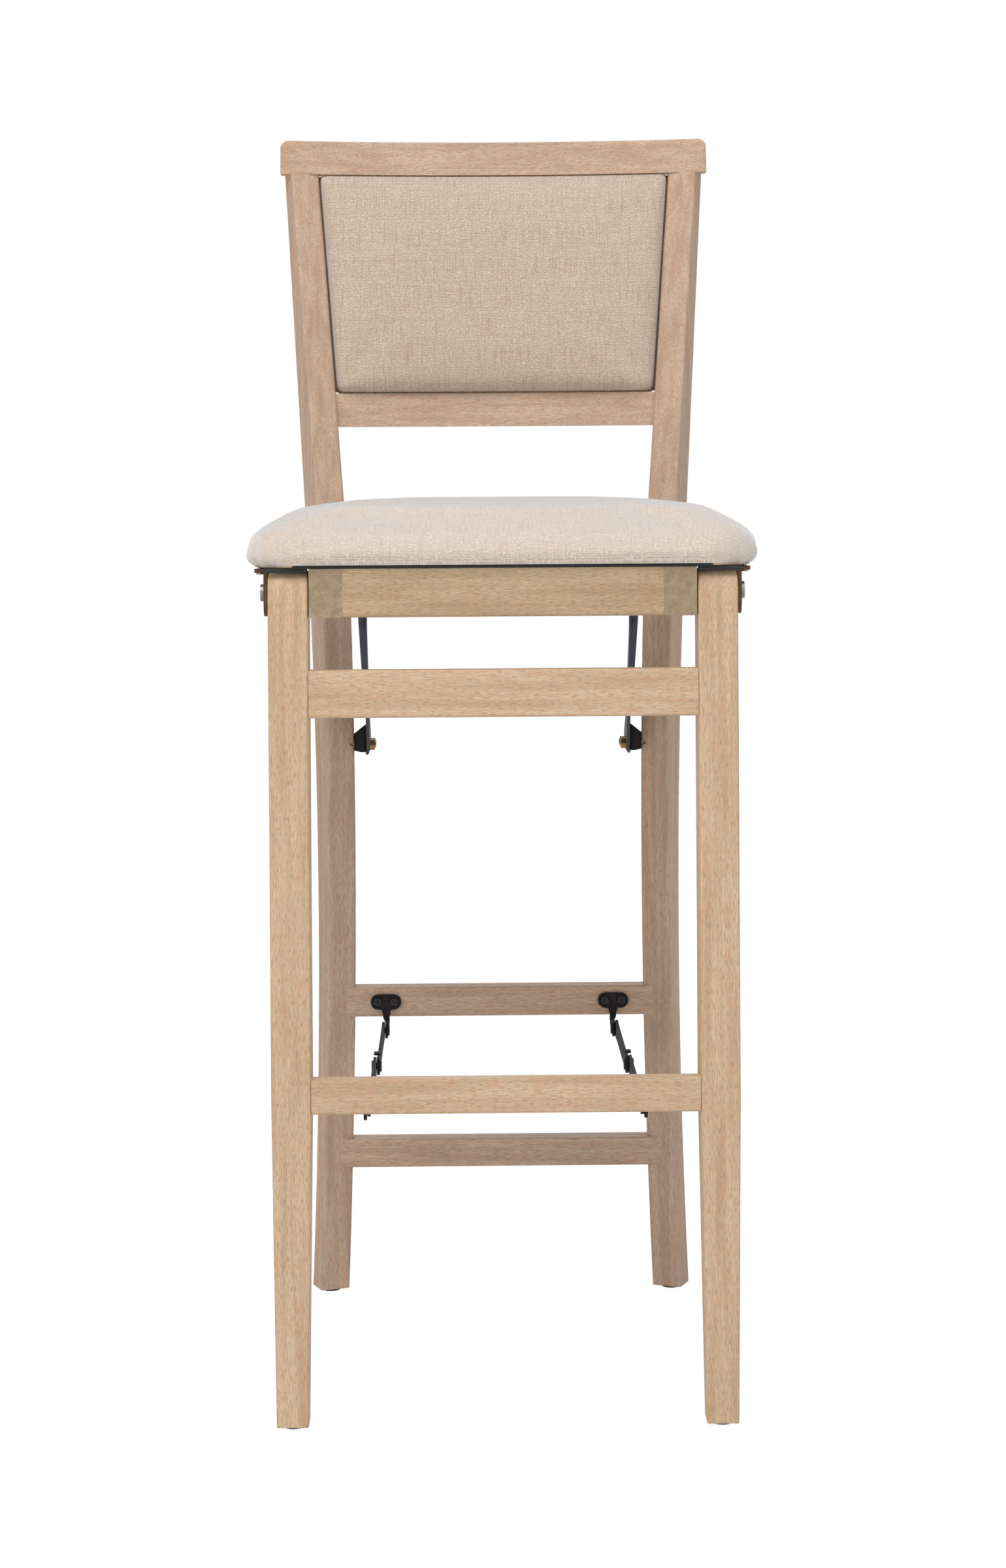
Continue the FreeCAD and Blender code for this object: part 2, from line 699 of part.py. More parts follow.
def rivet(x0, x1, y, z, heads=(True, True)):
    pin = rod_x(rivet_radius, x0, x1, y, z)
    if heads[0]:
        pin = pin.fuse(rod_x(rivet_head_radius, x0 - rivet_head_thick, x0, y, z))
    if heads[1]:
        pin = pin.fuse(rod_x(rivet_head_radius, x1, x1 + rivet_head_thick, y, z))
    return pin.removeSplitter()


def brace_bracket():
    """An angle behind the footrest: a plate on the wood and an ear back to the open pivot."""
    z0 = footrest_bottom + 2
    y0, y1 = front_board, front_board + ear_thick
    plate = box(ear_x[0], ear_x[0] + bracket_width, y0, y1, z0, z0 + bracket_height)
    ear = side_plate([(y0, z0 + 2), (brace_front_y, brace_z - ear_radius), (brace_front_y, brace_z + ear_radius),
                      (y0, z0 + bracket_height)], *ear_x)
    ear = ear.fuse(rod_x(ear_radius, *ear_x, brace_front_y, brace_z))
    bracket = plate.fuse(ear).removeSplitter()
    bracket = bracket.cut(rod_x(open_pivot_radius, *ear_x, brace_front_y, brace_z))
    for z in bracket_screw_heights():
        bracket = bracket.cut(rod_y(screw_shank_radius, ear_x[0] + bracket_width * 0.6, y0, y1, z))
    return bracket


def bracket_screw_heights():
    return (footrest_bottom + 2 + 6, footrest_bottom + 2 + bracket_height - 6)


def bracket_screws():
    """Screws driven forward into the footrest from behind."""
    y = front_board + ear_thick
    screws = []
    for z in bracket_screw_heights():
        x = ear_x[0] + bracket_width * 0.6
        screw = wood_screw(x, y, z, length=ear_thick + 10)
        screw.rotate(FreeCAD.Vector(x, y, z), FreeCAD.Vector(0, 0, 1), 180)
        screws.append(screw)
    return screws


def without(shape, tools):
    for tool in tools:
        shape = shape.cut(tool)
    return shape


def build_rear_frame():
    post = rear_post()
    posts = both_sides(post)
    top = top_rail()
    upper = rear_stretcher(rear_upper_bottom, rear_upper_height, posts)
    plate_screws = brace_plate_screws()
    all_plate_screws = plate_screws + [mirrored(screw) for screw in plate_screws]
    parts["top_rail"] = top
    parts["back_rail"] = back_rail(posts)
    parts["rear_upper_stretcher"] = without(upper, all_plate_screws)
    parts["rear_lower_stretcher"] = rear_stretcher(rear_lower_bottom, rear_lower_height, posts)
    rail_top = back_rail_bottom + back_rail_height
    behind = -(back_board_thick + back_panel_thick) / 2
    parts["back_board"] = back_layer(back_board_thick, 0.0, rail_top, post_top)
    parts["back_panel"] = back_layer(back_panel_thick, behind, pad_bottom, pad_top)
    parts["back_cushion"] = back_cushion()
    bracket_screws = arm_bracket_screws()
    bracket = without(arm_bracket(post), bracket_screws)
    parts["arm_bracket_screws"] = Part.makeCompound([both_sides(screw) for screw in bracket_screws])
    add_pair("rear_post", without(post, bracket_screws))
    add_pair("hinge_arm", hinge_arm())
    add_pair("arm_bracket", bracket)
    parts["arm_bolts"] = Part.makeCompound([both_sides(bolt) for bolt in arm_bolts()])
    parts["arm_locknuts"] = Part.makeCompound([both_sides(nut) for nut in arm_locknuts()])
    parts["seat_pivot_bolts"] = both_sides(seat_pivot_bolt())
    add_pair("brace_plate", brace_plate())
    parts["brace_plate_screws"] = Part.makeCompound(all_plate_screws)
    tongue_x0 = brace_inner - slide_gap - ear_thick
    parts["brace_rear_rivets"] = both_sides(rivet(tongue_x0, rear_arm_x[1] + 0.1, brace_rear_y, brace_z,
                                                  (True, False)))
    x, y, depth = post_at(glide_height)
    parts["rear_glides"] = both_sides(foot_glide(x, y))


def build_seat():
    board = seat_board()
    screws = rail_screws() + [plate_screw()]
    all_screws = screws + [mirrored(screw) for screw in screws]
    parts["seat_screws"] = Part.makeCompound(all_screws)
    parts["seat_board"] = without(board, all_screws)
    parts["seat_cushion"] = seat_cushion(board)
    top = seat_bottom - dust_cover_thick
    half = seat_half_width - seat_board_inset
    cover = box(-half, half, seat_front + seat_board_inset, seat_rear - seat_board_inset, top, seat_bottom)
    cover = rounded(cover, seat_corner - seat_board_inset, lambda edge: runs_along(edge, "z"))
    parts["dust_cover"] = without(cover, all_screws)
    apron = box(-rail_inner, rail_inner, 0, apron_thick, apron_bottom, top)
    parts["apron"] = rounded(apron, board_edge, lambda edge: runs_along(edge, "x") and edge.BoundBox.ZMax < top - 1)
    add_pair("seat_rail", without(seat_rail(), screws))
    add_pair("leg_hinge_plate", without(leg_hinge_plate(), screws))
    parts["leg_pivot_bolts"] = both_sides(leg_pivot_bolt())


def build_front_frame():
    add_pair("front_leg", front_leg())
    parts["front_stretcher"] = front_bar(front_stretcher_bottom, front_stretcher_height)
    screws = bracket_screws()
    all_screws = screws + [mirrored(screw) for screw in screws]
    parts["footrest"] = without(front_bar(footrest_bottom, footrest_height), all_screws)
    parts["leg_sleeves"] = both_sides(leg_sleeve())
    foot_x = leg_outer - leg_width / 2 + (foot_inner_taper - foot_outer_taper) / 2
    parts["front_glides"] = both_sides(foot_glide(foot_x, (leg_depth - foot_rear_taper) / 2))
    add_pair("brace_bracket", brace_bracket())
    parts["brace_bracket_screws"] = Part.makeCompound(all_screws)


def build_braces():
    add_pair("rear_brace_arm", rear_brace_arm())
    add_pair("front_brace_arm", front_brace_arm())
    add_pair("elbow_rivet", rivet(rear_arm_x[0], front_arm_x[1] + 0.1, elbow_y, brace_z))
    add_pair("brace_end_rivet", rivet(front_arm_x[0], ear_x[1] + 0.4, brace_front_y, brace_z, (False, False)))


def main():
    build_rear_frame()
    build_seat()
    build_front_frame()
    build_braces()
    os.makedirs("parts", exist_ok=True)
    whole = Part.makeCompound(list(parts.values())).optimalBoundingBox(False, False)
    shift = FreeCAD.Vector(-(whole.XMin + whole.XMax) / 2, -(whole.YMin + whole.YMax) / 2, -whole.ZMin)
    for name, shape in parts.items():
        placed = shape.copy()
        placed.translate(shift)
        if not placed.isValid():
            print("not valid:", name)
        placed.exportStep("parts/" + name + ".step")
        print(name, len(placed.Solids), round(placed.Volume / 1000, 2), "cm3")
    print("size", whole.XLength, whole.YLength, whole.ZLength)
    print("front leg face at y", shift.y)
    print("seat pivot", seat_pivot_y + shift.y, seat_pivot_z)
    print("leg pivot", leg_depth / 2 + shift.y, leg_pivot_z)
    print("rear brace pivot", brace_rear_y + shift.y, brace_z, "elbow", elbow_y + shift.y)
    print("open pivot", brace_front_y + shift.y, brace_z)


main()
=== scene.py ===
import json
import math

import bmesh
import bpy
import numpy as np
from mathutils import Matrix, Vector


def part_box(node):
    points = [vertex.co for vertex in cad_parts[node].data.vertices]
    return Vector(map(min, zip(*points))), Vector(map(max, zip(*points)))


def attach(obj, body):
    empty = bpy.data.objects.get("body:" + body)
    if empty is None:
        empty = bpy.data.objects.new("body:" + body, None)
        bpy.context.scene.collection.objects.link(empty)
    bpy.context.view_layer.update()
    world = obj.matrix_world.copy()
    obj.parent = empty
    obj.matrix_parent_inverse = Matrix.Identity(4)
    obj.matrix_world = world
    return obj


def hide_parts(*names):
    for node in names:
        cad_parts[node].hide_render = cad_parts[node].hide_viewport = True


# A folding bar stool: oak frame, linen seat and back pad, black steel braces.
# Metres, +Z up, the front faces -Y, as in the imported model.

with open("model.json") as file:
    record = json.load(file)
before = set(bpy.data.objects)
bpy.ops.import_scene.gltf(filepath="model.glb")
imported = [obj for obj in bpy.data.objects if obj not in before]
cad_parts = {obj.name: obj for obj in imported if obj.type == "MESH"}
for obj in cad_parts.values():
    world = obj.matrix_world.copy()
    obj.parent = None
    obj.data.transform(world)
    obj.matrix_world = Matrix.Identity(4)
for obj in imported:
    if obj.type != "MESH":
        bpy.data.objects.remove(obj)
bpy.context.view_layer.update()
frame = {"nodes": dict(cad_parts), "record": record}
nodes = frame["nodes"]
print("frame loaded:", len(nodes), "nodes")

view = {
    "imageSize": (1540, 2400),
    "focalPixels": 4744.28,          # on the long side of the picture
    "axisRow": 800.0,                # row that the optical axis meets
    "place": (-0.03375, -2.79507, 0.76925),
    "down": 0.6272, "turn": -0.7739, "roll": -0.3702,      # degrees
}


def makeCamera():
    camera = bpy.data.cameras.new("camera")
    camera.sensor_width = 36.0
    tall = view["imageSize"][1]
    camera.lens = camera.sensor_width * view["focalPixels"] / tall
    camera.shift_y = (view["axisRow"] - tall / 2) / tall
    camera.clip_start, camera.clip_end = 0.05, 60
    down, turn, roll = (math.radians(view[key]) for key in ("down", "turn", "roll"))
    ahead = Vector((-math.sin(turn) * math.cos(down), math.cos(turn) * math.cos(down), -math.sin(down)))
    right = Vector((math.cos(turn), math.sin(turn), 0))
    up = right.cross(ahead)
    across = right * math.cos(roll) + up * math.sin(roll)
    upright = up * math.cos(roll) - right * math.sin(roll)
    holder = bpy.data.objects.new("camera", camera)
    turned = Matrix((across, upright, -ahead)).transposed().to_4x4()
    holder.matrix_world = Matrix.Translation(view["place"]) @ turned
    bpy.context.scene.collection.objects.link(holder)
    bpy.context.scene.camera = holder


makeCamera()
print("camera made")


def paint(red, green, blue):
    # a screen colour, 0 to 255, as the linear colour that shaders take
    def linear(value):
        value /= 255
        return value / 12.92 if value <= 0.04045 else ((value + 0.055) / 1.055) ** 2.4
    return (linear(red), linear(green), linear(blue), 1.0)


class Signal:
    # one socket of a finish; arithmetic on it adds Math nodes
    def __init__(self, finish, socket):
        self.finish, self.socket = finish, socket

    def math(self, operation, *values):
        return self.finish.add("ShaderNodeMath", {"operation": operation}, *values)

    def __add__(self, other):
        return self.math("ADD", self, other)

    def __sub__(self, other):
        return self.math("SUBTRACT", self, other)

    def __rsub__(self, other):
        return self.math("SUBTRACT", other, self)

    def __mul__(self, other):
        return self.math("MULTIPLY", self, other)

    __radd__ = __add__
    __rmul__ = __mul__

    def sine(self):
        return self.math("SINE", self)

    def size(self):
        return self.math("ABSOLUTE", self)

    def between(self, low, high):
        # 0 below low, 1 above high, smooth in between
        limits = {"From Min": low, "From Max": high}
        return self.finish.add("ShaderNodeMapRange", {"interpolation_type": "SMOOTHSTEP"}, self, **limits)


class Finish:
    # a material under construction
    def __init__(self, name, **fixed):
        self.material = bpy.data.materials.new(name)
        self.material.use_nodes = True
        self.tree = self.material.node_tree
        self.shader = self.tree.nodes["Principled BSDF"]
        for socket, value in fixed.items():
            self.shader.inputs[socket.replace("_", " ")].default_value = value

    def feed(self, socket, value):
        if isinstance(value, Signal):
            self.tree.links.new(value.socket, socket)
        else:
            socket.default_value = value

    def add(self, kind, settings=None, *values, out=0, **named):
        node = self.tree.nodes.new(kind)
        for key, value in (settings or {}).items():
            setattr(node, key, value)
        for socket, value in zip(node.inputs, values):
            self.feed(socket, value)
        for key, value in named.items():
            self.feed(node.inputs[key], value)
        return Signal(self, node.outputs[out])

    def mix(self, share, first, second):
        node = self.tree.nodes.new("ShaderNodeMix")
        node.data_type = "RGBA"
        for index, value in ((0, share), (6, first), (7, second)):
            self.feed(node.inputs[index], value)
        return Signal(self, node.outputs[2])

    def place(self, scale, source=None):
        # object coordinates, or those of the source, scaled to patches for each metre
        source = source or self.add("ShaderNodeTexCoord", out="Object")
        return self.add("ShaderNodeMapping", None, source, Scale=scale)

    def noise(self, vector, detail, rough=0.5, bend=0.0):
        return self.add("ShaderNodeTexNoise", None, Vector=vector, Scale=1.0, Detail=detail,
                        Roughness=rough, Distortion=bend)

    def bump(self, height, depth, strength):
        raised = self.add("ShaderNodeBump", None, Strength=strength, Distance=depth, Height=height)
        self.set("Normal", raised)

    def set(self, socket, value):
        self.feed(self.shader.inputs[socket], value)


woodSettings = {
    # length along the grain and width across it, in metres
    "streak": (0.16, 0.007), "fleck": (0.0110, 0.00065), "pore": (0.0060, 0.00045),
    "tint": (0.0187, 0.001235),
    "poreDepth": 0.00022,
    # how much of each colour is laid over the wood
    "body": 0.5, "greyFlecks": 0.75, "redTint": 0.42, "clouds": 0.14, "darkPores": 0.65, "paleFlecks": 0.4,
    "rough": 0.5, "shine": 0.32,
}
woodTones = {
    # screen colours, 0 to 255
    "front": {"pale": (222, 196, 166), "body": (203, 173, 142), "dark": (168, 134, 102),
              "grey": (180, 168, 138), "red": (202, 146, 112)},
    # the apron's tones are darker partly as painted shade under the seat cushion's overhang, partly as darker
    # wood
    "apron": {"pale": (204, 180, 148), "body": (184, 156, 124), "dark": (150, 120, 88),
              "grey": (166, 154, 124), "red": (184, 138, 102)},
    "block": {"pale": (184, 164, 138), "body": (162, 140, 112), "dark": (128, 106, 80),
              "grey": (140, 132, 108), "red": (160, 122, 94)},
    "rear": {"pale": (212, 186, 164), "body": (194, 165, 141), "dark": (160, 128, 105),
             "grey": (172, 158, 138), "red": (194, 143, 117)},
    "ply": {"pale": (222, 196, 158), "body": (206, 176, 136), "dark": (178, 144, 104),
            "grey": (190, 170, 138), "red": (204, 158, 120)},
}


def woodFinish(name, tone, grain):
    # oak with a grey wash; grain is the axis that the fibres run along
    wood, colours = woodSettings, {key: paint(*value) for key, value in woodTones[tone].items()}
    finish = Finish(name, Specular_IOR_Level=wood["shine"])

    def grained(kind, **shape):
        length, width = wood[kind]
        stretch = [1 / length if axis == grain else 1 / width for axis in "xyz"]
        return finish.noise(finish.place(stretch), **shape)

    streak = grained("streak", detail=3, rough=0.55, bend=0.4)
    fleck = grained("fleck", detail=2, rough=0.6)
    tint = grained("tint", detail=1)
    pore = 1 - grained("pore", detail=1, rough=0.4).between(0.34, 0.44)
    cloud = finish.noise(finish.place((9, 9, 9)), detail=1)
    colour = finish.mix(streak.between(0.25, 0.72), colours["dark"], colours["pale"])
    colour = finish.mix(wood["body"], colour, colours["body"])
    colour = finish.mix(fleck.between(0.50, 0.66) * wood["greyFlecks"], colour, colours["grey"])
    colour = finish.mix((1 - tint.between(0.34, 0.48)) * wood["redTint"], colour, colours["red"])
    colour = finish.mix(cloud.between(0.3, 0.8) * wood["clouds"], colour, colours["dark"])
    colour = finish.mix(pore * wood["darkPores"], colour, colours["dark"])
    colour = finish.mix((1 - fleck.between(0.30, 0.42)) * wood["paleFlecks"], colour, colours["pale"])
    finish.set("Base Color", colour)
    finish.set("Roughness", wood["rough"] + fleck * 0.18 + pore * 0.15)
    finish.bump(fleck * 0.35 - pore * 0.8, wood["poreDepth"], 0.7)
    return finish.material


woods = {
    "frontZ": woodFinish("frontWoodUpright", "front", "z"),
    "frontX": woodFinish("frontWoodAcross", "front", "x"),
    # the apron: darker wood with painted shade under the cushion
    "apronDarkAndShadedX": woodFinish("apronWoodDarkAndShaded", "apron", "x"),
    "blockY": woodFinish("railWood", "block", "y"),
    "rearZ": woodFinish("rearWoodUpright", "rear", "z"),
    "rearX": woodFinish("rearWoodAcross", "rear", "x"),
    "plyX": woodFinish("boardWood", "ply", "x"),
}


clothSettings = {
    # warp and weft are the distances between threads, in metres; the colours are screen colours
    # the gap colour is painted shade in the hollows between the threads
    "seat": {"warp": 0.00110, "weft": 0.00145, "thread": (227, 209, 193), "gapShade": (163, 136, 112),
             "slub": (246, 237, 227), "shade": (186, 161, 138), "depth": 0.0004, "shine": 0.45, "sheen": 1.0},
    "back": {"warp": 0.00112, "weft": 0.00154, "thread": (215, 197, 180), "gapShade": (142, 116, 93),
             "slub": (230, 217, 203), "shade": (162, 137, 114), "depth": 0.0004, "shine": 0.2, "sheen": 0.4},
    "panel": {"warp": 0.00112, "weft": 0.00154, "thread": (207, 189, 171), "gapShade": (142, 116, 93),
              "slub": (218, 203, 188), "shade": (170, 145, 122), "depth": 0.0003, "shine": 0.2, "sheen": 0.4},
}
weave = {
    "rough": 0.7, "sheenRough": 0.65, "sheenTint": (0.88, 0.95, 1.0, 1.0),
    "wander": 1.2,                   # threads that the rows stray to the side
    # how much of the slub or shade colour each pattern lays over the threads
    "paleKnots": 0.48, "darkKnots": 0.44, "paleWeft": 0.2, "darkWarp": 0.55, "bands": 0.2,
}


def clothFinish(name, kind):
    # a slubby plain weave that follows the piece's own threads, kept in its UV map
    cloth = clothSettings[kind]
    thread, gapShade, slub, shade = (paint(*cloth[key]) for key in ("thread", "gapShade", "slub", "shade"))
    finish = Finish(name, Roughness=weave["rough"], Specular_IOR_Level=cloth["shine"],
                    Sheen_Weight=cloth["sheen"], Sheen_Roughness=weave["sheenRough"],
                    Sheen_Tint=weave["sheenTint"])
    threads = finish.add("ShaderNodeUVMap", {"uv_map": "threads"})
    warpCount, weftCount = 1 / cloth["warp"], 1 / cloth["weft"]      # threads for each metre
    rows = finish.add("ShaderNodeMapping", None, threads, Scale=(warpCount, weftCount, 1))
    across = finish.add("ShaderNodeSeparateXYZ", None, rows)
    along = Signal(finish, across.socket.node.outputs[1])

    def patches(acrossScale, alongScale, **shape):
        return finish.noise(finish.place((acrossScale, alongScale, 1), source=threads), **shape)

    stray = finish.noise(finish.place((40, 40, 40), source=threads), detail=1) * weave["wander"]
    warp = ((across + stray) * math.pi).sine()
    weft = ((along + stray) * math.pi).sine()
    raised = weft.size() * 0.5 + (warp * weft) * 0.3 + 0.24
    warpTone = patches(warpCount, 34, detail=2)
    weftTone = patches(60, weftCount / 1.1, detail=2)
    band = patches(16, 260, detail=2)
    knot = patches(460, weftCount, detail=2, rough=0.7)
    # painted shade between the threads, where the weave is low
    colour = finish.mix(raised, gapShade, thread)
    colour = finish.mix(knot.between(0.50, 0.66) * weave["paleKnots"], colour, slub)
    colour = finish.mix((1 - knot.between(0.34, 0.50)) * weave["darkKnots"], colour, shade)
    colour = finish.mix(weftTone.between(0.54, 0.70) * weave["paleWeft"], colour, slub)
    colour = finish.mix((1 - warpTone.between(0.34, 0.47)) * weave["darkWarp"], colour, shade)
    colour = finish.mix(band.between(0.45, 0.75) * weave["bands"], colour, shade)
    finish.set("Base Color", colour)
    finish.bump(raised * 0.7 + knot * 0.9 + warpTone * 0.4, cloth["depth"], 0.8)
    return finish.material


seatCloth = clothFinish("seatLinen", "seat")
backCloth = clothFinish("backLinen", "back")
panelCloth = clothFinish("backPanelLinen", "panel")


def dustFinish():
    # thin black spun cloth under the seat
    finish = Finish("blackDustCloth", Roughness=0.95, Sheen_Weight=0.15)
    fibre = finish.noise(finish.place((900, 900, 900)), detail=3, rough=0.7)
    dimple = finish.add("ShaderNodeTexVoronoi", None, Vector=finish.place((420, 420, 420)))
    finish.set("Base Color", finish.mix(fibre.between(0.3, 0.8), paint(22, 22, 23), paint(52, 51, 50)))
    finish.bump(dimple + fibre * 0.6, 0.0002, 0.6)
    return finish.material


metalSettings = {
    # screen colours, roughness, and the patch level above which the coat is worn
    "blackSteel": {"body": (35, 33, 34), "worn": (80, 74, 72), "rough": 0.66, "metal": 0, "wear": 0.62},
    "blueSteel": {"body": (70, 72, 80), "worn": (104, 106, 112), "rough": 0.5, "metal": 0, "wear": 0.6},
    "blackFixings": {"body": (54, 52, 51), "worn": (100, 96, 92), "rough": 0.48, "metal": 0, "wear": 0.58},
    "zincSteel": {"body": (142, 139, 132), "worn": (170, 166, 158), "rough": 0.42, "metal": 1, "wear": 0.5},
    "brownSteel": {"body": (96, 68, 50), "worn": (134, 104, 82), "rough": 0.42, "metal": 0, "wear": 0.6},
    "yellowBrass": {"body": (150, 122, 84), "worn": (186, 160, 116), "rough": 0.42, "metal": 1, "wear": 0.52},
}


def metalFinish(name):
    # paint or plating with fine brushing, small specks and dulled patches
    steel = metalSettings[name]
    bare = steel["metal"] == 1
    finish = Finish(name, Specular_IOR_Level=0.5 if bare else 0.12)
    brushed = finish.noise(finish.place((300, 300, 4000)), detail=1)
    patch = finish.noise(finish.place((120, 120, 120)), detail=3, rough=0.6)
    speck = finish.noise(finish.place((1500, 1500, 1500)), detail=2, rough=0.6)
    wear = patch.between(steel["wear"], steel["wear"] + 0.12) * 0.45 + speck.between(0.62, 0.72) * 0.35
    finish.set("Base Color", finish.mix(wear, paint(*steel["body"]), paint(*steel["worn"])))
    finish.set("Metallic", steel["metal"] + wear * (0.0 if bare else 0.5))
    finish.set("Roughness", steel["rough"] + patch * 0.16 - brushed * 0.06)
    finish.bump(speck * 0.5 + brushed * 0.5, 0.00006, 0.5)
    return finish.material


metals = {name: metalFinish(name) for name in metalSettings}


def glideFinish():
    finish = Finish("darkNylon", Specular_IOR_Level=0.4)
    scuff = finish.noise(finish.place((700, 700, 700)), detail=3, rough=0.65)
    finish.set("Base Color", finish.mix(scuff.between(0.45, 0.75), paint(56, 50, 46), paint(92, 84, 78)))
    finish.set("Roughness", 0.45 + scuff * 0.3)
    finish.bump(scuff, 0.0001, 0.5)
    return finish.material


slotFinish = {
    "front_wood": woods["frontZ"], "rear_wood": woods["rearZ"], "plywood": woods["plyX"],
    "black_steel": metals["blackSteel"], "black_fixings": metals["blackFixings"],
    "zinc_steel": metals["zincSteel"], "bronze_steel": metals["brownSteel"], "brass": metals["yellowBrass"],
    "seat_cloth": seatCloth, "back_cloth": backCloth, "dust_cloth": dustFinish(), "glide": glideFinish(),
}
acrossGrain = {
    "frontX": ("front_stretcher", "footrest"),
    "apronDarkAndShadedX": ("apron",),
    "blockY": ("seat_rail_left", "seat_rail_right"),
    "rearX": ("top_rail", "back_rail", "rear_upper_stretcher", "rear_lower_stretcher"),
}


def dressNodes():
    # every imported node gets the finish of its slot, or the same wood with its grain across
    grain = {node: woods[key] for key, names in acrossGrain.items() for node in names}
    for row in frame["record"]["subparts"]:
        mesh = nodes[row["node"]].data
        material = grain.get(row["node"], slotFinish[row["material_slot"]])
        mesh.materials.clear()
        mesh.materials.append(material)
        for face in mesh.polygons:
            face.material_index = 0


dressNodes()
print("materials made")


def pieceFrom(bm, name, material, smooth=True):
    mesh = bpy.data.meshes.new(name)
    bm.to_mesh(mesh)
    bm.free()
    mesh.materials.append(material)
    for face in mesh.polygons:
        face.use_smooth = smooth
    piece = bpy.data.objects.new(name, mesh)
    bpy.context.scene.collection.objects.link(piece)
    return piece


def applied(piece):
    # the piece with its modifiers applied
    graph = bpy.context.evaluated_depsgraph_get()
    mesh = bpy.data.meshes.new_from_object(piece.evaluated_get(graph))
    piece.modifiers.clear()
    piece.data = mesh
    return piece


def remeshed(piece, voxel):
    modifier = piece.modifiers.new("remesh", "REMESH")
    modifier.mode, modifier.voxel_size, modifier.use_smooth_shade = "VOXEL", voxel, True
    return applied(piece)


def points(mesh):
    found = np.zeros(len(mesh.vertices) * 3)
    mesh.vertices.foreach_get("co", found)
    return found.reshape(-1, 3)


def movePoints(mesh, found):
    mesh.vertices.foreach_set("co", found.ravel())
    mesh.update()


def addGroup(piece, name, chosen):
    group = piece.vertex_groups.new(name=name)
    group.add([int(index) for index in np.nonzero(chosen)[0]], 1.0, "REPLACE")


puff = {"pressure": 4.0, "steps": 20, "quality": 5, "stretch": 25, "bend": 4}


def swell(piece, held, cap):
    # cloth simulation: the cover is blown up from inside, by cap at most, while the held points stay
    before = points(piece.data)
    addGroup(piece, "held", held)
    cloth = piece.modifiers.new("cloth", "CLOTH")
    cloth.settings.use_pressure = True
    cloth.settings.uniform_pressure_force = puff["pressure"]
    cloth.settings.vertex_group_mass = "held"
    cloth.settings.effector_weights.gravity = 0
    cloth.settings.quality = puff["quality"]
    cloth.settings.tension_stiffness = cloth.settings.compression_stiffness = puff["stretch"]
    cloth.settings.bending_stiffness = puff["bend"]
    cloth.point_cache.frame_start, cloth.point_cache.frame_end = 1, puff["steps"]
    scene = bpy.context.scene
    for step in range(1, puff["steps"] + 1):
        scene.frame_set(step)
    applied(piece)
    scene.frame_set(1)
    moved = points(piece.data) - before
    length = np.linalg.norm(moved, axis=1, keepdims=True)
    limit = np.minimum(1.0, cap / np.maximum(length, 1e-9))
    movePoints(piece.data, before + moved * limit)
    piece.vertex_groups.clear()


def smoothed(piece, rounds, free):
    # only the free points are smoothed
    addGroup(piece, "free", free)
    modifier = piece.modifiers.new("smooth", "SMOOTH")
    modifier.factor, modifier.iterations, modifier.vertex_group = 0.5, rounds, "free"
    applied(piece)
    piece.vertex_groups.clear()


def uprightEdges(bm, tall):
    return [edge for edge in bm.edges if abs(edge.verts[0].co.z - edge.verts[1].co.z) > tall]


def triangulateCaps(bm):
    bmesh.ops.triangulate(bm, faces=[face for face in bm.faces if len(face.verts) > 4])


def softRim(bm, offset, segments=2):
    # round off the sharp edges
    rim = [edge for edge in bm.edges if edge.calc_face_angle(0) > 0.9]
    bmesh.ops.bevel(bm, geom=rim, offset=offset, segments=segments, profile=0.5, affect="EDGES",
                    material=-1, clamp_overlap=True)


def cutAcross(bm, place, normal, **keep):
    return bmesh.ops.bisect_plane(bm, geom=bm.verts[:] + bm.edges[:] + bm.faces[:],
                                  plane_co=place, plane_no=normal, **keep)


def subdivided(piece):
    modifier = piece.modifiers.new("subdivide", "SUBSURF")
    modifier.levels = modifier.render_levels = 1
    applied(piece)


def addThreads(piece, uv):
    # the UV map that the weave follows, in metres of cloth
    mesh = piece.data
    layer = mesh.uv_layers.new(name="threads")
    corners = np.zeros(len(mesh.loops), dtype=np.int32)
    mesh.loops.foreach_get("vertex_index", corners)
    layer.data.foreach_set("uv", uv[corners].ravel())


seat = {
    "corner": 0.046,
    "bottomInset": 0.0036,
    "widest": 0.0200,                # height of the sides, below the crown
    # rise and further inset of each ring of the crown
    "rings": ((0.0070, 0.0020), (0.0095, 0.0090), (0.0100, 0.0270), (0.0060, 0.0480), (0.0022, 0.0520)),
    "voxel": 0.006, "puff": 0.006,
    "stapled": 0.006,                # height up to which the cover is held
    "smoothing": (6, 5),             # rounds before and after the cover is blown up
    "curlHigh": 0.0140, "curl": 0.0034, "curlShape": 1.8,     # how the lower edge turns in
    "tucks": (16, 34, 52, 72),       # degrees round each corner
    "tuckWide": 3.2, "tuckDepth": 0.0016, "tuckHigh": 0.020, "tuckShape": 1.3,
    # the cover's middle is above the board's underside, and its rim just below it
    "lift": 0.0016, "liftFrom": 0.024, "liftOver": 0.020, "rimDrop": 0.0003, "rim": 0.026,
    "sideThreads": 0.9, "sidesBelow": 0.012,   # threads run down the sides from this far under the crown
}


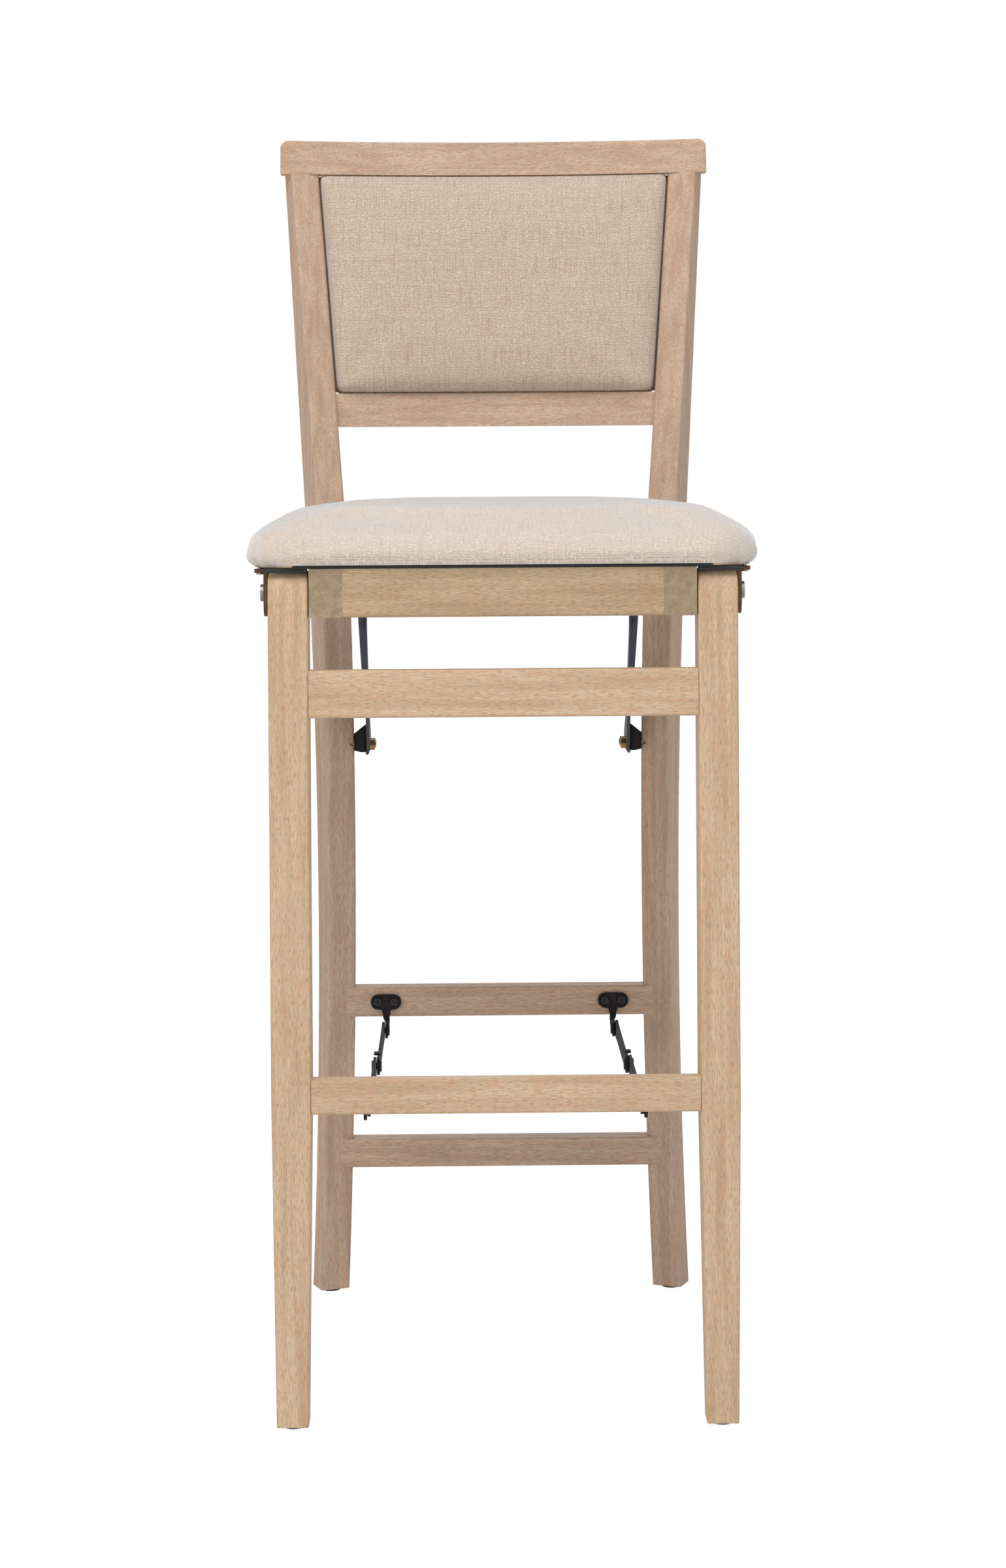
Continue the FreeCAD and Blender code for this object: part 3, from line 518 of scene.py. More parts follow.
def seatCushion():
    low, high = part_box("seat_cushion")
    middle = (low + high) / 2
    halfX, halfY = (high.x - low.x) / 2, (high.y - low.y) / 2
    bm = bmesh.new()
    bmesh.ops.create_cube(bm, size=1)
    bmesh.ops.scale(bm, vec=(2 * halfX, 2 * halfY, seat["widest"]), verts=bm.verts)
    bmesh.ops.translate(bm, vec=(middle.x, middle.y, low.z + seat["widest"] / 2), verts=bm.verts)
    bmesh.ops.bevel(bm, geom=uprightEdges(bm, 0.001), offset=seat["corner"], segments=10,
                    profile=0.5, affect="EDGES", material=-1)
    top = max(bm.faces, key=lambda face: face.calc_center_median().z)
    bottom = min(bm.faces, key=lambda face: face.calc_center_median().z)
    about = Matrix.Translation(-middle)

    def drawIn(face, before, after):
        shares = Vector(((halfX - after) / (halfX - before), (halfY - after) / (halfY - before), 1))
        bmesh.ops.scale(bm, vec=shares, space=about, verts=face.verts)

    drawIn(bottom, 0, seat["bottomInset"])
    inset = 0
    for rise, step in seat["rings"]:
        top = bmesh.ops.extrude_discrete_faces(bm, faces=[top])["faces"][0]
        bmesh.ops.translate(bm, vec=(0, 0, rise), verts=top.verts)
        drawIn(top, inset, inset + step)
        inset += step
    triangulateCaps(bm)
    bmesh.ops.recalc_face_normals(bm, faces=bm.faces)
    piece = remeshed(pieceFrom(bm, "seat_cushion_cover", seatCloth), seat["voxel"])
    loose = points(piece.data)[:, 2] > low.z + seat["stapled"]
    smoothed(piece, seat["smoothing"][0], loose)
    swell(piece, ~loose, seat["puff"])
    smoothed(piece, seat["smoothing"][1], loose)
    subdivided(piece)
    shapeSeat(piece, low, high)
    return piece


def shapeSeat(piece, low, high):
    # the CAD height and width, the turned-in lower edge, corner tucks, underside and threads
    found = points(piece.data)
    middle = np.array((low + high) / 2)[:2]
    half = np.array((high - low) / 2)[:2]
    found[:, 2] = low.z + (found[:, 2] - low.z) * (high.z - low.z) / (found[:, 2].max() - low.z)
    rise = found[:, 2] - low.z
    core = half - seat["corner"]
    local = found[:, :2] - middle
    inner = np.clip(local, -core, core)
    out = local - inner
    reach = np.linalg.norm(out, axis=1)
    way = out / np.maximum(reach, 1e-6)[:, None]
    angle = np.degrees(np.arctan2(np.abs(out[:, 1]), np.abs(out[:, 0])))
    atCorner = (np.abs(out) > 1e-4).all(axis=1) & (reach > seat["corner"] * 0.6)
    fade = np.clip(1 - rise / seat["tuckHigh"], 0, 1) ** seat["tuckShape"]
    groove = sum(np.exp(-((angle - tuck) / seat["tuckWide"]) ** 2) for tuck in seat["tucks"])
    turnedIn = np.clip(1 - rise / seat["curlHigh"], 0, 1) ** seat["curlShape"]
    curl = seat["curl"] * turnedIn * np.clip(reach / seat["corner"], 0, 1)
    found[:, :2] -= way * (seat["tuckDepth"] * groove * fade * atCorner + curl)[:, None]
    found[:, :2] = middle + (found[:, :2] - middle) * half / np.abs(found[:, :2] - middle).max(axis=0)
    side = half[0] - np.abs(local[:, 0])       # distance from the cushion's side
    lift = seat["lift"] * np.clip((side - seat["liftFrom"]) / seat["liftOver"], 0, 1)
    found[:, 2] = np.maximum(found[:, 2], low.z + lift)
    found[:, 2] -= seat["rimDrop"] * ((rise < 0.001) & (side < seat["rim"]))
    movePoints(piece.data, found)
    drop = np.maximum(high.z - seat["sidesBelow"] - found[:, 2], 0)
    addThreads(piece, inner + way * (reach + drop * seat["sideThreads"])[:, None])


seatPiece = seatCushion()
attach(seatPiece, "seat")
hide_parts("seat_cushion")
print("seat cushion made:", len(seatPiece.data.polygons), "faces")


back = {
    "bowRadius": 0.870,
    "lean": 0.17826,                 # metres back for each metre up
    "low": 0.863, "high": 1.076,     # heights between the rails
    "lowHalf": 0.1516, "highHalf": 0.1683,
    "lowMiddleY": 0.21995,           # middle line of the back board at the low edge
    "boardHalf": 0.003,
    "edge": 0.0120, "dome": 0.0145, "flat": 5.0,     # the pad: thickness at its edge, rise and flatness
    "voxel": 0.004, "puff": 0.003,
    "stapled": 0.006,                # depth of the held back edge
    "smoothing": (8, 10),
    "postCorner": 0.0078,            # the posts' front corners stand this far before the board's middle line
    "postTurn": 0.9 * math.tan(math.radians(22)),
    "overlap": 0.0013,               # the pad's sides reach this far past the board's edges
    "rimThreads": 0.0114, "rim": 0.004,              # cloth that turns down at the sides, and from where
}


def backHalf(z):
    share = (z - back["low"]) / (back["high"] - back["low"])
    return back["lowHalf"] + (back["highHalf"] - back["lowHalf"]) * share


def backLine(x, z):
    bow = back["bowRadius"] - np.sqrt(back["bowRadius"] ** 2 - x ** 2)
    return back["lowMiddleY"] - bow + back["lean"] * (z - back["low"])


def sideReach(z, offset):
    # half width up to the turned posts, for a layer set off from the board's middle line
    behind = np.maximum(offset + back["postCorner"], 0)
    return backHalf(z) + back["overlap"] + behind * back["postTurn"]


def backCushion():
    # a flat pad first, then widened upwards, bowed and leant back
    wide, tall = 2 * back["lowHalf"], back["high"] - back["low"]
    bm = bmesh.new()
    bmesh.ops.create_cube(bm, size=1)
    bmesh.ops.scale(bm, vec=(wide, back["edge"], tall), verts=bm.verts)
    piece = remeshed(pieceFrom(bm, "back_cushion_cover", backCloth), back["voxel"])
    found = points(piece.data)
    share = np.clip(np.abs(found[:, [0, 2]]) / (wide / 2, tall / 2), 0, 1)
    dome = np.sqrt((1 - share ** back["flat"]).prod(axis=1))
    found[:, 1] -= back["dome"] * dome * (found[:, 1] < 0)
    movePoints(piece.data, found)
    loose = points(piece.data)[:, 1] < back["edge"] / 2 - back["stapled"]
    smoothed(piece, back["smoothing"][0], loose)
    swell(piece, ~loose, back["puff"])
    smoothed(piece, back["smoothing"][1], loose)
    subdivided(piece)
    found = points(piece.data)
    depth = np.clip(back["edge"] / 2 - found[:, 1], 0, None)
    z = np.clip(found[:, 2] + (back["low"] + back["high"]) / 2, back["low"], back["high"])
    x = np.clip(found[:, 0], -wide / 2, wide / 2) * sideReach(z, -back["boardHalf"] - depth) / back["lowHalf"]
    y = backLine(x, z) - back["boardHalf"] - depth
    movePoints(piece.data, np.column_stack((x, y, z)))
    rim = np.clip(back["rimThreads"] - depth, 0, None) * (np.abs(x) > backHalf(z) - back["rim"])
    addThreads(piece, np.column_stack((x + np.sign(x) * rim, z)))
    return piece


backPiece = backCushion()
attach(backPiece, "rear_frame")
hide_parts("back_cushion")
print("back cushion made:", len(backPiece.data.polygons), "faces")


panel = {"short": 0.001, "thick": 0.003, "soft": 0.0011, "steps": (48, 24)}


def backPanel():
    # the cloth panel behind the back
    wide, tall = 2 * back["lowHalf"] - panel["short"], back["high"] - back["low"] - panel["short"]
    bm = bmesh.new()
    bmesh.ops.create_grid(bm, x_segments=panel["steps"][0], y_segments=panel["steps"][1], size=0.5)
    bmesh.ops.scale(bm, vec=(wide, tall, 1), verts=bm.verts)
    bmesh.ops.solidify(bm, geom=bm.faces[:], thickness=panel["thick"])
    bmesh.ops.recalc_face_normals(bm, faces=bm.faces)
    softRim(bm, panel["soft"], segments=3)
    piece = pieceFrom(bm, "back_panel_cover", panelCloth)
    found = points(piece.data)
    lift = found[:, 2] - found[:, 2].min()
    z = found[:, 1] + (back["low"] + back["high"]) / 2
    x = found[:, 0] * sideReach(z, back["boardHalf"] + lift) / back["lowHalf"]
    y = backLine(x, z) + back["boardHalf"] + lift
    movePoints(piece.data, np.column_stack((x, y, z)))
    addThreads(piece, np.column_stack((x, z)))
    return piece


panelPiece = backPanel()
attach(panelPiece, "rear_frame")
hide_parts("back_panel")
print("back panel made")


dust = {
    "corner": 0.038,
    "trim": 0.005,                   # the cloth ends this far inside the board at the sides
    # the hem's height makes its black band also stand as painted shade between the cushion and the apron
    "hemOut": 0.0010, "hemIn": 0.010, "hemAndShadeHigh": 0.0028, "hemSoft": 0.0006, "hemLift": 0.0001,
    "sag": 0.0030,                   # how far the cloth hangs between the rails
    "legSag": 0.0004,                # and over the legs, which fold up against it
    "sagShape": 0.7, "endShape": 0.6,
    "rail": (0.131, 0.1584), "plate": 0.192, "front": -0.247, "rear": 0.105,
    "cuts": 72,
    # black strips before each leg top, painted shade under the cushion's corners: x, y and z from and to
    "shadeStrips": ((0.1592, 0.1965), (-0.2685, -0.2640), (0.7018, 0.7052)), "shadeStripSoft": 0.0018,
}


def dustExtent():
    low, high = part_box("dust_cover")
    trim = Vector((dust["trim"], 0, 0))
    return low + trim, (low + high) / 2, high - low - 2 * trim


def roundedBlock(size, corner, segments):
    bm = bmesh.new()
    bmesh.ops.create_cube(bm, size=1)
    bmesh.ops.scale(bm, vec=size, verts=bm.verts)
    bmesh.ops.bevel(bm, geom=uprightEdges(bm, size[2] / 2), offset=corner, segments=segments,
                    profile=0.5, affect="EDGES", material=-1)
    return bm


def dustCover():
    low, middle, size = dustExtent()
    bm = roundedBlock(size, dust["corner"], 8)
    bmesh.ops.translate(bm, vec=middle, verts=bm.verts)
    for axis, reach in ((0, size.x), (1, size.y)):
        for share in range(1, dust["cuts"]):
            normal, place = Vector((0, 0, 0)), Vector(low)
            normal[axis], place[axis] = 1, low[axis] + reach * share / dust["cuts"]
            cutAcross(bm, place, normal)
    triangulateCaps(bm)
    piece = pieceFrom(bm, "dust_cover_sheet", slotFinish["dust_cloth"])
    found = points(piece.data)
    side = np.abs(found[:, 0])
    inner, outer = dust["rail"]

    def hump(value, start, end):
        share = np.clip((value - start) / (end - start), 0, 1)
        return np.sin(np.pi * share) ** dust["sagShape"]

    between = np.where(side < inner, dust["sag"] * hump(side + inner, 0, 2 * inner),
                       dust["legSag"] * hump(side, outer, dust["plate"]))
    found[:, 2] -= between * hump(found[:, 1], dust["front"], dust["rear"]) ** dust["endShape"]
    movePoints(piece.data, found)
    return piece


def dustHemAndShadeStrips():
    # the folded edge of the dust cover, round the foot of the board, with its black band made taller as
    # painted shade between the cushion and the apron; and black strips before the leg tops, painted shade
    # under the cushion's corners
    low, middle, size = dustExtent()
    out, high = dust["hemOut"], dust["hemAndShadeHigh"]
    bm = roundedBlock((size.x + 2 * out, size.y + 2 * out, high), dust["corner"] + out, 12)
    caps = [face for face in bm.faces if abs(face.normal.z) > 0.9]
    bmesh.ops.inset_individual(bm, faces=caps, thickness=out + dust["hemIn"])
    inner = [face for face in bm.faces if abs(face.normal.z) > 0.9 and len(face.verts) > 4]
    bmesh.ops.bridge_loops(bm, edges=[edge for face in inner for edge in face.edges])
    bmesh.ops.delete(bm, geom=inner, context="FACES_ONLY")
    bmesh.ops.translate(bm, vec=(middle.x, middle.y, low.z + high / 2 + dust["hemLift"]), verts=bm.verts)
    bmesh.ops.recalc_face_normals(bm, faces=bm.faces)
    softRim(bm, dust["hemSoft"])
    # black strips before the leg tops: painted shade under the cushion's corners
    (left, right), (front, behind), (foot, head) = dust["shadeStrips"]
    for side in (-1, 1):
        start = Vector((side * (left + right) / 2, (front + behind) / 2, (foot + head) / 2))
        made = bmesh.ops.create_cube(bm, size=1)["verts"]
        bmesh.ops.scale(bm, vec=(right - left, behind - front, head - foot), verts=made)
        bmesh.ops.translate(bm, vec=start, verts=made)
        edges = list({edge for vert in made for edge in vert.link_edges})
        bmesh.ops.bevel(bm, geom=edges, offset=dust["shadeStripSoft"], segments=4, profile=0.5,
                        affect="EDGES", material=-1)
    return pieceFrom(bm, "dust_cover_hem_and_shade_strips", slotFinish["dust_cloth"])


dustPiece = dustCover()
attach(dustPiece, "seat")
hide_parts("dust_cover")
hemAndShadePiece = dustHemAndShadeStrips()
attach(hemAndShadePiece, "seat")
print("dust cover made")


def leftFrom(piece, name):
    bm = bmesh.new()
    bm.from_mesh(piece.data)
    bmesh.ops.scale(bm, vec=(-1, 1, 1), verts=bm.verts)
    bmesh.ops.reverse_faces(bm, faces=bm.faces)
    return pieceFrom(bm, name, piece.data.materials[0])


def fitPair(rightPiece, node):
    # the right piece and its mirror image stand for the two CAD nodes
    leftPiece = leftFrom(rightPiece, rightPiece.name.replace("right", "left"))
    for piece, side in ((rightPiece, "right"), (leftPiece, "left")):
        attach(piece, "rear_frame")
        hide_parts(node + "_" + side)


def plateFrom(outline, low, high):
    # a flat plate with its outline in y and z and its two faces at low and high x
    bm = bmesh.new()
    face = bm.faces.new([bm.verts.new((low, y, z)) for y, z in outline])
    grown = bmesh.ops.extrude_face_region(bm, geom=[face])["geom"]
    moved = [part for part in grown if isinstance(part, bmesh.types.BMVert)]
    bmesh.ops.translate(bm, vec=(high - low, 0, 0), verts=moved)
    bmesh.ops.recalc_face_normals(bm, faces=bm.faces)
    return bm


def roundCorners(bm, places, radius, segments):
    # the corners of a plate's outline at these places
    across = [edge for edge in bm.edges if abs(edge.verts[0].co.x - edge.verts[1].co.x) > 0.001]
    chosen = [edge for edge in across
              if any(abs(edge.verts[0].co.y - y) + abs(edge.verts[0].co.z - z) < 1e-5 for y, z in places)]
    bmesh.ops.bevel(bm, geom=chosen, offset=radius, segments=segments, profile=0.5,
                    affect="EDGES", material=-1)


seatArm = {
    "inner": 0.122, "outer": 0.125,
    "front": 0.0739, "rear": 0.0919, "top": 0.7039, "eye": 0.0089,
    "turn": 0.645, "rearTurn": 0.639, "knee": (0.1649, 0.5505), "elbowRound": 0.012,
    "footLow": 0.5155, "footHigh": 0.5365, "footFront": 0.1484, "footRear": 0.1894,
    "footCut": 0.004, "footRound": 0.005,
    "bendFrom": 0.5215, "bendRadius": 0.0058, "bendStep": 0.0011, "bendCuts": 6, "soft": 0.0004,
    "flange": 0.0048, "flangeThick": 0.0022, "flangeEnd": 0.556, "flangeTop": 0.6879,
    "flangeGrows": 0.01, "flangeShape": 0.8, "flangeCuts": 12, "flangeSoft": 0.0005, "overlap": 0.0004,
    "lip": (0.9, 0.5, 0.3),          # shares of its thickness that slant the flange's inner corners
    "hole": (0.0829, 0.651, 0.003),  # y, z and radius
}


def makeSeatArm():
    arm = seatArm
    footFront, footLow, cut = arm["footFront"], arm["footLow"], arm["footCut"]
    outline = [(arm["front"], arm["top"]), (arm["front"], arm["turn"]),
               (footFront, footLow + cut), (footFront + cut, footLow),
               (arm["footRear"], footLow), (arm["footRear"], arm["footHigh"]),
               arm["knee"], (arm["rear"], arm["rearTurn"]), (arm["rear"], arm["top"])]
    bm = plateFrom(outline, arm["inner"], arm["outer"])
    roundCorners(bm, [outline[0], outline[8]], arm["eye"], 10)
    roundCorners(bm, [outline[1], outline[6], outline[7]], arm["elbowRound"], 5)
    roundCorners(bm, [outline[4], outline[5]], arm["footRound"], 4)
    for step in range(arm["bendCuts"]):
        cutAcross(bm, (0, 0, arm["bendFrom"] - step * arm["bendStep"]), (0, 0, 1))
    softRim(bm, arm["soft"])
    for vert in bm.verts:
        # the foot's lower edge curls outwards under the bracket
        below = arm["bendFrom"] - vert.co.z
        if below > 0:
            angle, radius = below / arm["bendRadius"], arm["bendRadius"] - (vert.co.x - arm["inner"])
            vert.co.x = arm["inner"] + arm["bendRadius"] - radius * math.cos(angle)
            vert.co.z = arm["bendFrom"] - radius * math.sin(angle)
    piece = pieceFrom(bm, "seat_arm_right", metals["blueSteel"], smooth=False)
    cutter = bmesh.new()
    y, z, radius = arm["hole"]
    turned = Matrix.Translation((arm["inner"], y, z)) @ Matrix.Rotation(math.radians(90), 4, "Y")
    bmesh.ops.create_cone(cutter, cap_ends=True, segments=24, radius1=radius, radius2=radius, depth=0.02,
                          matrix=turned)
    tool = pieceFrom(cutter, "hole_tool", metals["blueSteel"])
    modifier = piece.modifiers.new("hole", "BOOLEAN")
    modifier.operation, modifier.object, modifier.solver = "DIFFERENCE", tool, "EXACT"
    applied(piece)
    bpy.data.objects.remove(tool)
    return withFlange(piece)


def withFlange(piece):
    # the arm's front edge is turned outwards, widest at the top
    arm, thick = seatArm, seatArm["flangeThick"]
    front, turn, end, top = (arm[key] for key in ("front", "turn", "flangeEnd", "flangeTop"))
    slope = (arm["footFront"] - front) / (turn - arm["footLow"] - arm["footCut"])
    endY = front + (turn - end) * slope
    lipY, lipZ, turnZ = arm["lip"]
    bm = plateFrom([(front, top), (front, turn), (endY, end), (endY + thick * lipY, end + thick * lipZ),
                    (front + thick, turn + thick * turnZ), (front + thick, top)],
                   arm["outer"] - arm["overlap"], arm["outer"] + arm["flange"])
    for cut in range(1, arm["flangeCuts"]):
        cutAcross(bm, (0, 0, end + (arm["top"] - end) * cut / arm["flangeCuts"]), (0, 0, 1))
    for vert in bm.verts:
        if vert.co.x > arm["outer"]:
            share = min(max((vert.co.z - end) / (turn + arm["flangeGrows"] - end), 0), 1)
            wide = (arm["flange"] - arm["overlap"]) * share ** arm["flangeShape"]
            vert.co.x = arm["outer"] + arm["overlap"] + wide
    softRim(bm, arm["flangeSoft"])
    bm.from_mesh(piece.data)
    bm.to_mesh(piece.data)
    bm.free()
    return piece


armBracket = {
    "size": (0.030, 0.0380, 0.0280), "corner": (0.125, 0.1500, 0.5195),
    "postCorner": (0.1366, 0.1620), "postTurn": 22.0,
    "slope": 0.8, "topAtArm": 0.5450, "wall": 0.0020, "floor": 0.5215, "round": 0.0022,
}


def postOutwards():
    # the way into the turned face of the post
    turn = math.radians(armBracket["postTurn"])
    return Vector((math.cos(turn), -math.sin(turn), 0))


def makeArmBracket():
    # a pressed cup between an arm's foot and the turned face of the post
    cup = armBracket
    size, corner = Vector(cup["size"]), Vector(cup["corner"])
    bm = bmesh.new()
    bmesh.ops.create_cube(bm, size=1)
    bmesh.ops.scale(bm, vec=size, verts=bm.verts)
    bmesh.ops.translate(bm, vec=corner + size / 2, verts=bm.verts)
    for place, normal in (((*cup["postCorner"], 0), postOutwards()),
                          ((corner.x, 0, cup["topAtArm"]), (cup["slope"], 0, 1))):
        cut = cutAcross(bm, place, normal, clear_outer=True)
        rim = [edge for edge in cut["geom_cut"] if isinstance(edge, bmesh.types.BMEdge)]
        bmesh.ops.holes_fill(bm, edges=rim)
    bmesh.ops.recalc_face_normals(bm, faces=bm.faces)
    top = max(bm.faces, key=lambda face: face.calc_center_median().z)
    lower = [edge for edge in bm.edges if top not in edge.link_faces]
    bmesh.ops.bevel(bm, geom=lower, offset=cup["round"], segments=3, profile=0.5, affect="EDGES", material=-1)
    top = max(bm.faces, key=lambda face: face.calc_center_median().z)
    bmesh.ops.inset_region(bm, faces=[top], thickness=cup["wall"], use_even_offset=True)
    hollow = bmesh.ops.extrude_discrete_faces(bm, faces=[top])["faces"][0]
    for vert in hollow.verts:
        vert.co.z = cup["floor"]
    return pieceFrom(bm, "arm_cup_right", metals["blackSteel"], smooth=False)


bracePlate = {
    "middle": 0.1086, "width": 0.029, "height": 0.015, "z": 0.2795,
    "front": 0.1632, "rear": 0.1657, "soft": 0.0004,
    "screwPitch": 0.016, "dish": 0.0046, "raised": 0.0013,
    "dishEdge": (0.85, 0.45),        # where the rise starts and how wide it is, as shares of the dish
    "rimFall": (8, 6, 0.25),         # how steeply the rise falls off at the ends and sides, and its rest
    # the neck: x, y, z, half width and turn from flat on the wood (0) to upright (90 degrees)
    "neck": ((0.1086, 0.1632, 0.2790, 0.0068, 0), (0.1086, 0.1622, 0.2725, 0.0046, 0),
             (0.1082, 0.1605, 0.2665, 0.0033, 20), (0.1077, 0.1560, 0.2615, 0.0036, 60),
             (0.1074, 0.1480, 0.2592, 0.0052, 90), (0.1073, 0.1390, 0.2583, 0.0068, 90),
             (0.1073, 0.1309, 0.2580, 0.0075, 90)),
    "neckThick": 0.0024, "ear": 0.0075,
    "earFrom": 0.80,                 # share of the neck's length where its round end starts
    "neckSmoothing": 3, "neckFree": 0.55,      # rounds, and the middle share of the neck that they work on
}


def makeBracePlate():
    # a plate with round ends, pressed flat round its screws, and a twisted neck down to the pivot
    brace = bracePlate
    bm = bmesh.new()
    bmesh.ops.create_grid(bm, x_segments=64, y_segments=32, size=1)
    face = pieceFrom(bm, "brace_plate_face", metals["blackSteel"])
    found = points(face.data)
    radius = brace["height"] / 2
    z = found[:, 1] * radius
    x = found[:, 0] * (brace["width"] / 2 - radius + np.sqrt(np.maximum(radius ** 2 - z ** 2, 1e-10)))
    away = np.hypot(np.abs(x) - brace["screwPitch"] / 2, z)
    endFall, sideFall, rest = brace["rimFall"]
    rim = np.minimum((1 - np.abs(found[:, 0])) * endFall, (1 - np.abs(found[:, 1])) * sideFall)
    start, over = brace["dishEdge"]
    outside = eased((away - brace["dish"] * start) / (brace["dish"] * over))
    lift = brace["raised"] * outside * eased(rim + rest)
    movePoints(face.data, np.column_stack((x + brace["middle"], brace["front"] - lift, z + brace["z"])))
    plate = thickened(face, brace["rear"] - brace["front"], brace["soft"])
    bm = bmesh.new()
    bmesh.ops.create_grid(bm, x_segments=56, y_segments=8, size=1)
    neck = pieceFrom(bm, "brace_neck", metals["blackSteel"])
    found = points(neck.data)
    along, earFrom = (found[:, 0] + 1) / 2, brace["earFrom"]
    rows = np.array(brace["neck"])
    steps = np.linspace(0, earFrom, len(rows))
    inEar = np.clip((along - earFrom) / (1 - earFrom), 0, 1)
    x, y, z, half, turn = (np.interp(np.minimum(along, earFrom), steps, rows[:, k]) for k in range(5))
    angle = inEar * np.pi / 2
    y = y - brace["ear"] * np.sin(angle)
    half = np.where(inEar > 0, brace["ear"] * np.cos(angle) + 1e-5, half)
    turn = np.radians(turn)
    across = found[:, 1] * half
    movePoints(neck.data, np.column_stack((x + across * np.cos(turn), y, z + across * np.sin(turn))))
    smoothed(neck, brace["neckSmoothing"], np.abs(found[:, 0]) < brace["neckFree"])
    bm = bmesh.new()
    for part in (plate, thickened(neck, brace["neckThick"], brace["soft"], middle=True)):
        bm.from_mesh(part.data)
        bpy.data.objects.remove(part)
    return pieceFrom(bm, "brace_plate_right_pressed", metals["blackSteel"])


def eased(value):
    # 0 to 1 with soft ends
    share = np.clip(value, 0, 1)
    return share * share * (3 - 2 * share)


def thickened(piece, thick, soft, middle=False):
    # a sheet gets its thickness, to the back or to both sides, and soft edges
    modifier = piece.modifiers.new("thickness", "SOLIDIFY")
    modifier.thickness, modifier.offset, modifier.use_even_offset = thick, 0 if middle else -1, True
    applied(piece)
    bm = bmesh.new()
    bm.from_mesh(piece.data)
    bmesh.ops.remove_doubles(bm, verts=bm.verts, dist=1e-5)
    bmesh.ops.recalc_face_normals(bm, faces=bm.faces)
    softRim(bm, soft)
    bm.to_mesh(piece.data)
    bm.free()
    for face in piece.data.polygons:
        face.use_smooth = True
    return piece


cupScrews = {
    "places": ((0.1680, 0.5300), (0.1815, 0.5300)),      # y and z
    "head": 0.0034, "high": 0.0016, "shank": 0.0018, "long": 0.016,
    "underHead": 0.55, "tip": 0.8,             # shares of the head's and the shank's radius
    "nose": 0.2, "sink": 0.0006,               # the dimple: its rim as a share of the head, and its depth
}


def makeCupScrews():
    # wood screws through the cups into the posts, heads inside the cups
    cup, screw, outwards = armBracket, cupScrews, postOutwards()
    postX, postY = cup["postCorner"]
    slope = math.tan(math.radians(cup["postTurn"]))
    aim = outwards.to_track_quat("Z", "Y").to_matrix().to_4x4()
    bm = bmesh.new()
    for y, z in screw["places"]:
        face = Vector((postX + (y - postY) * slope, y, z)) - outwards * cup["wall"]
        headPlace = Matrix.Translation(face - outwards * screw["high"] / 2) @ aim
        head = bmesh.ops.create_cone(bm, cap_ends=True, segments=24, depth=screw["high"],
                                     radius1=screw["head"] * screw["underHead"],
                                     radius2=screw["head"], matrix=headPlace)
        sides = {side for vert in head["verts"] for side in vert.link_faces}
        ends = [side for side in sides if len(side.verts) > 4]
        nose = min(ends, key=lambda end: (end.calc_center_median() - face).dot(outwards))
        bmesh.ops.inset_region(bm, faces=[nose], thickness=screw["head"] * screw["nose"],
                               depth=-screw["sink"])
        shankPlace = Matrix.Translation(face + outwards * screw["long"] / 2) @ aim
        bmesh.ops.create_cone(bm, cap_ends=True, segments=16, radius1=screw["shank"],
                              radius2=screw["shank"] * screw["tip"], depth=screw["long"],
                              matrix=shankPlace)
    return pieceFrom(bm, "arm_cup_screws_right", metals["zincSteel"], smooth=False)


fitPair(makeSeatArm(), "hinge_arm")
fitPair(makeArmBracket(), "arm_bracket")
fitPair(makeBracePlate(), "brace_plate")
rightScrews = makeCupScrews()
leftScrews = leftFrom(rightScrews, "arm_cup_screws_left")
for screws in (rightScrews, leftScrews):
    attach(screws, "rear_frame")
    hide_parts("arm_bracket_screws")
print("pressed steel made")


stage = {
    "floorHalf": 12.0, "floorTone": 0.92,
    "floorWhite": 0.86,              # share of the floor that is plain white to the camera
    "floorGlow": 1.10,
    "worldFill": 0.44,
    "lamps": (
        # name, place, aims at, size, watts
        ("topLamp", (-0.5, -1.9, 3.9), (0, 0, 0.6), 2.2, 89),
        ("frontLeftLamp", (-2.6, -3.2, 0.9), (0, 0, 0.5), 2.2, 28),
        ("frontRightLamp", (2.8, -3.0, 0.9), (0, 0, 0.5), 2.2, 20),
        ("backLamp", (0.4, 3.4, 2.4), (0, 0, 0.6), 2.4, 26),
    ),
}


def rayKinds(tree):
    # 1 for rays of the camera, of mirrors and of glass
    rays = tree.nodes.new("ShaderNodeLightPath")
    last = rays.outputs["Is Camera Ray"]
    for name in ("Is Glossy Ray", "Is Transmission Ray"):
        higher = tree.nodes.new("ShaderNodeMath")
        higher.operation = "MAXIMUM"
        tree.links.new(last, higher.inputs[0])
        tree.links.new(rays.outputs[name], higher.inputs[1])
        last = higher.outputs[0]
    return last


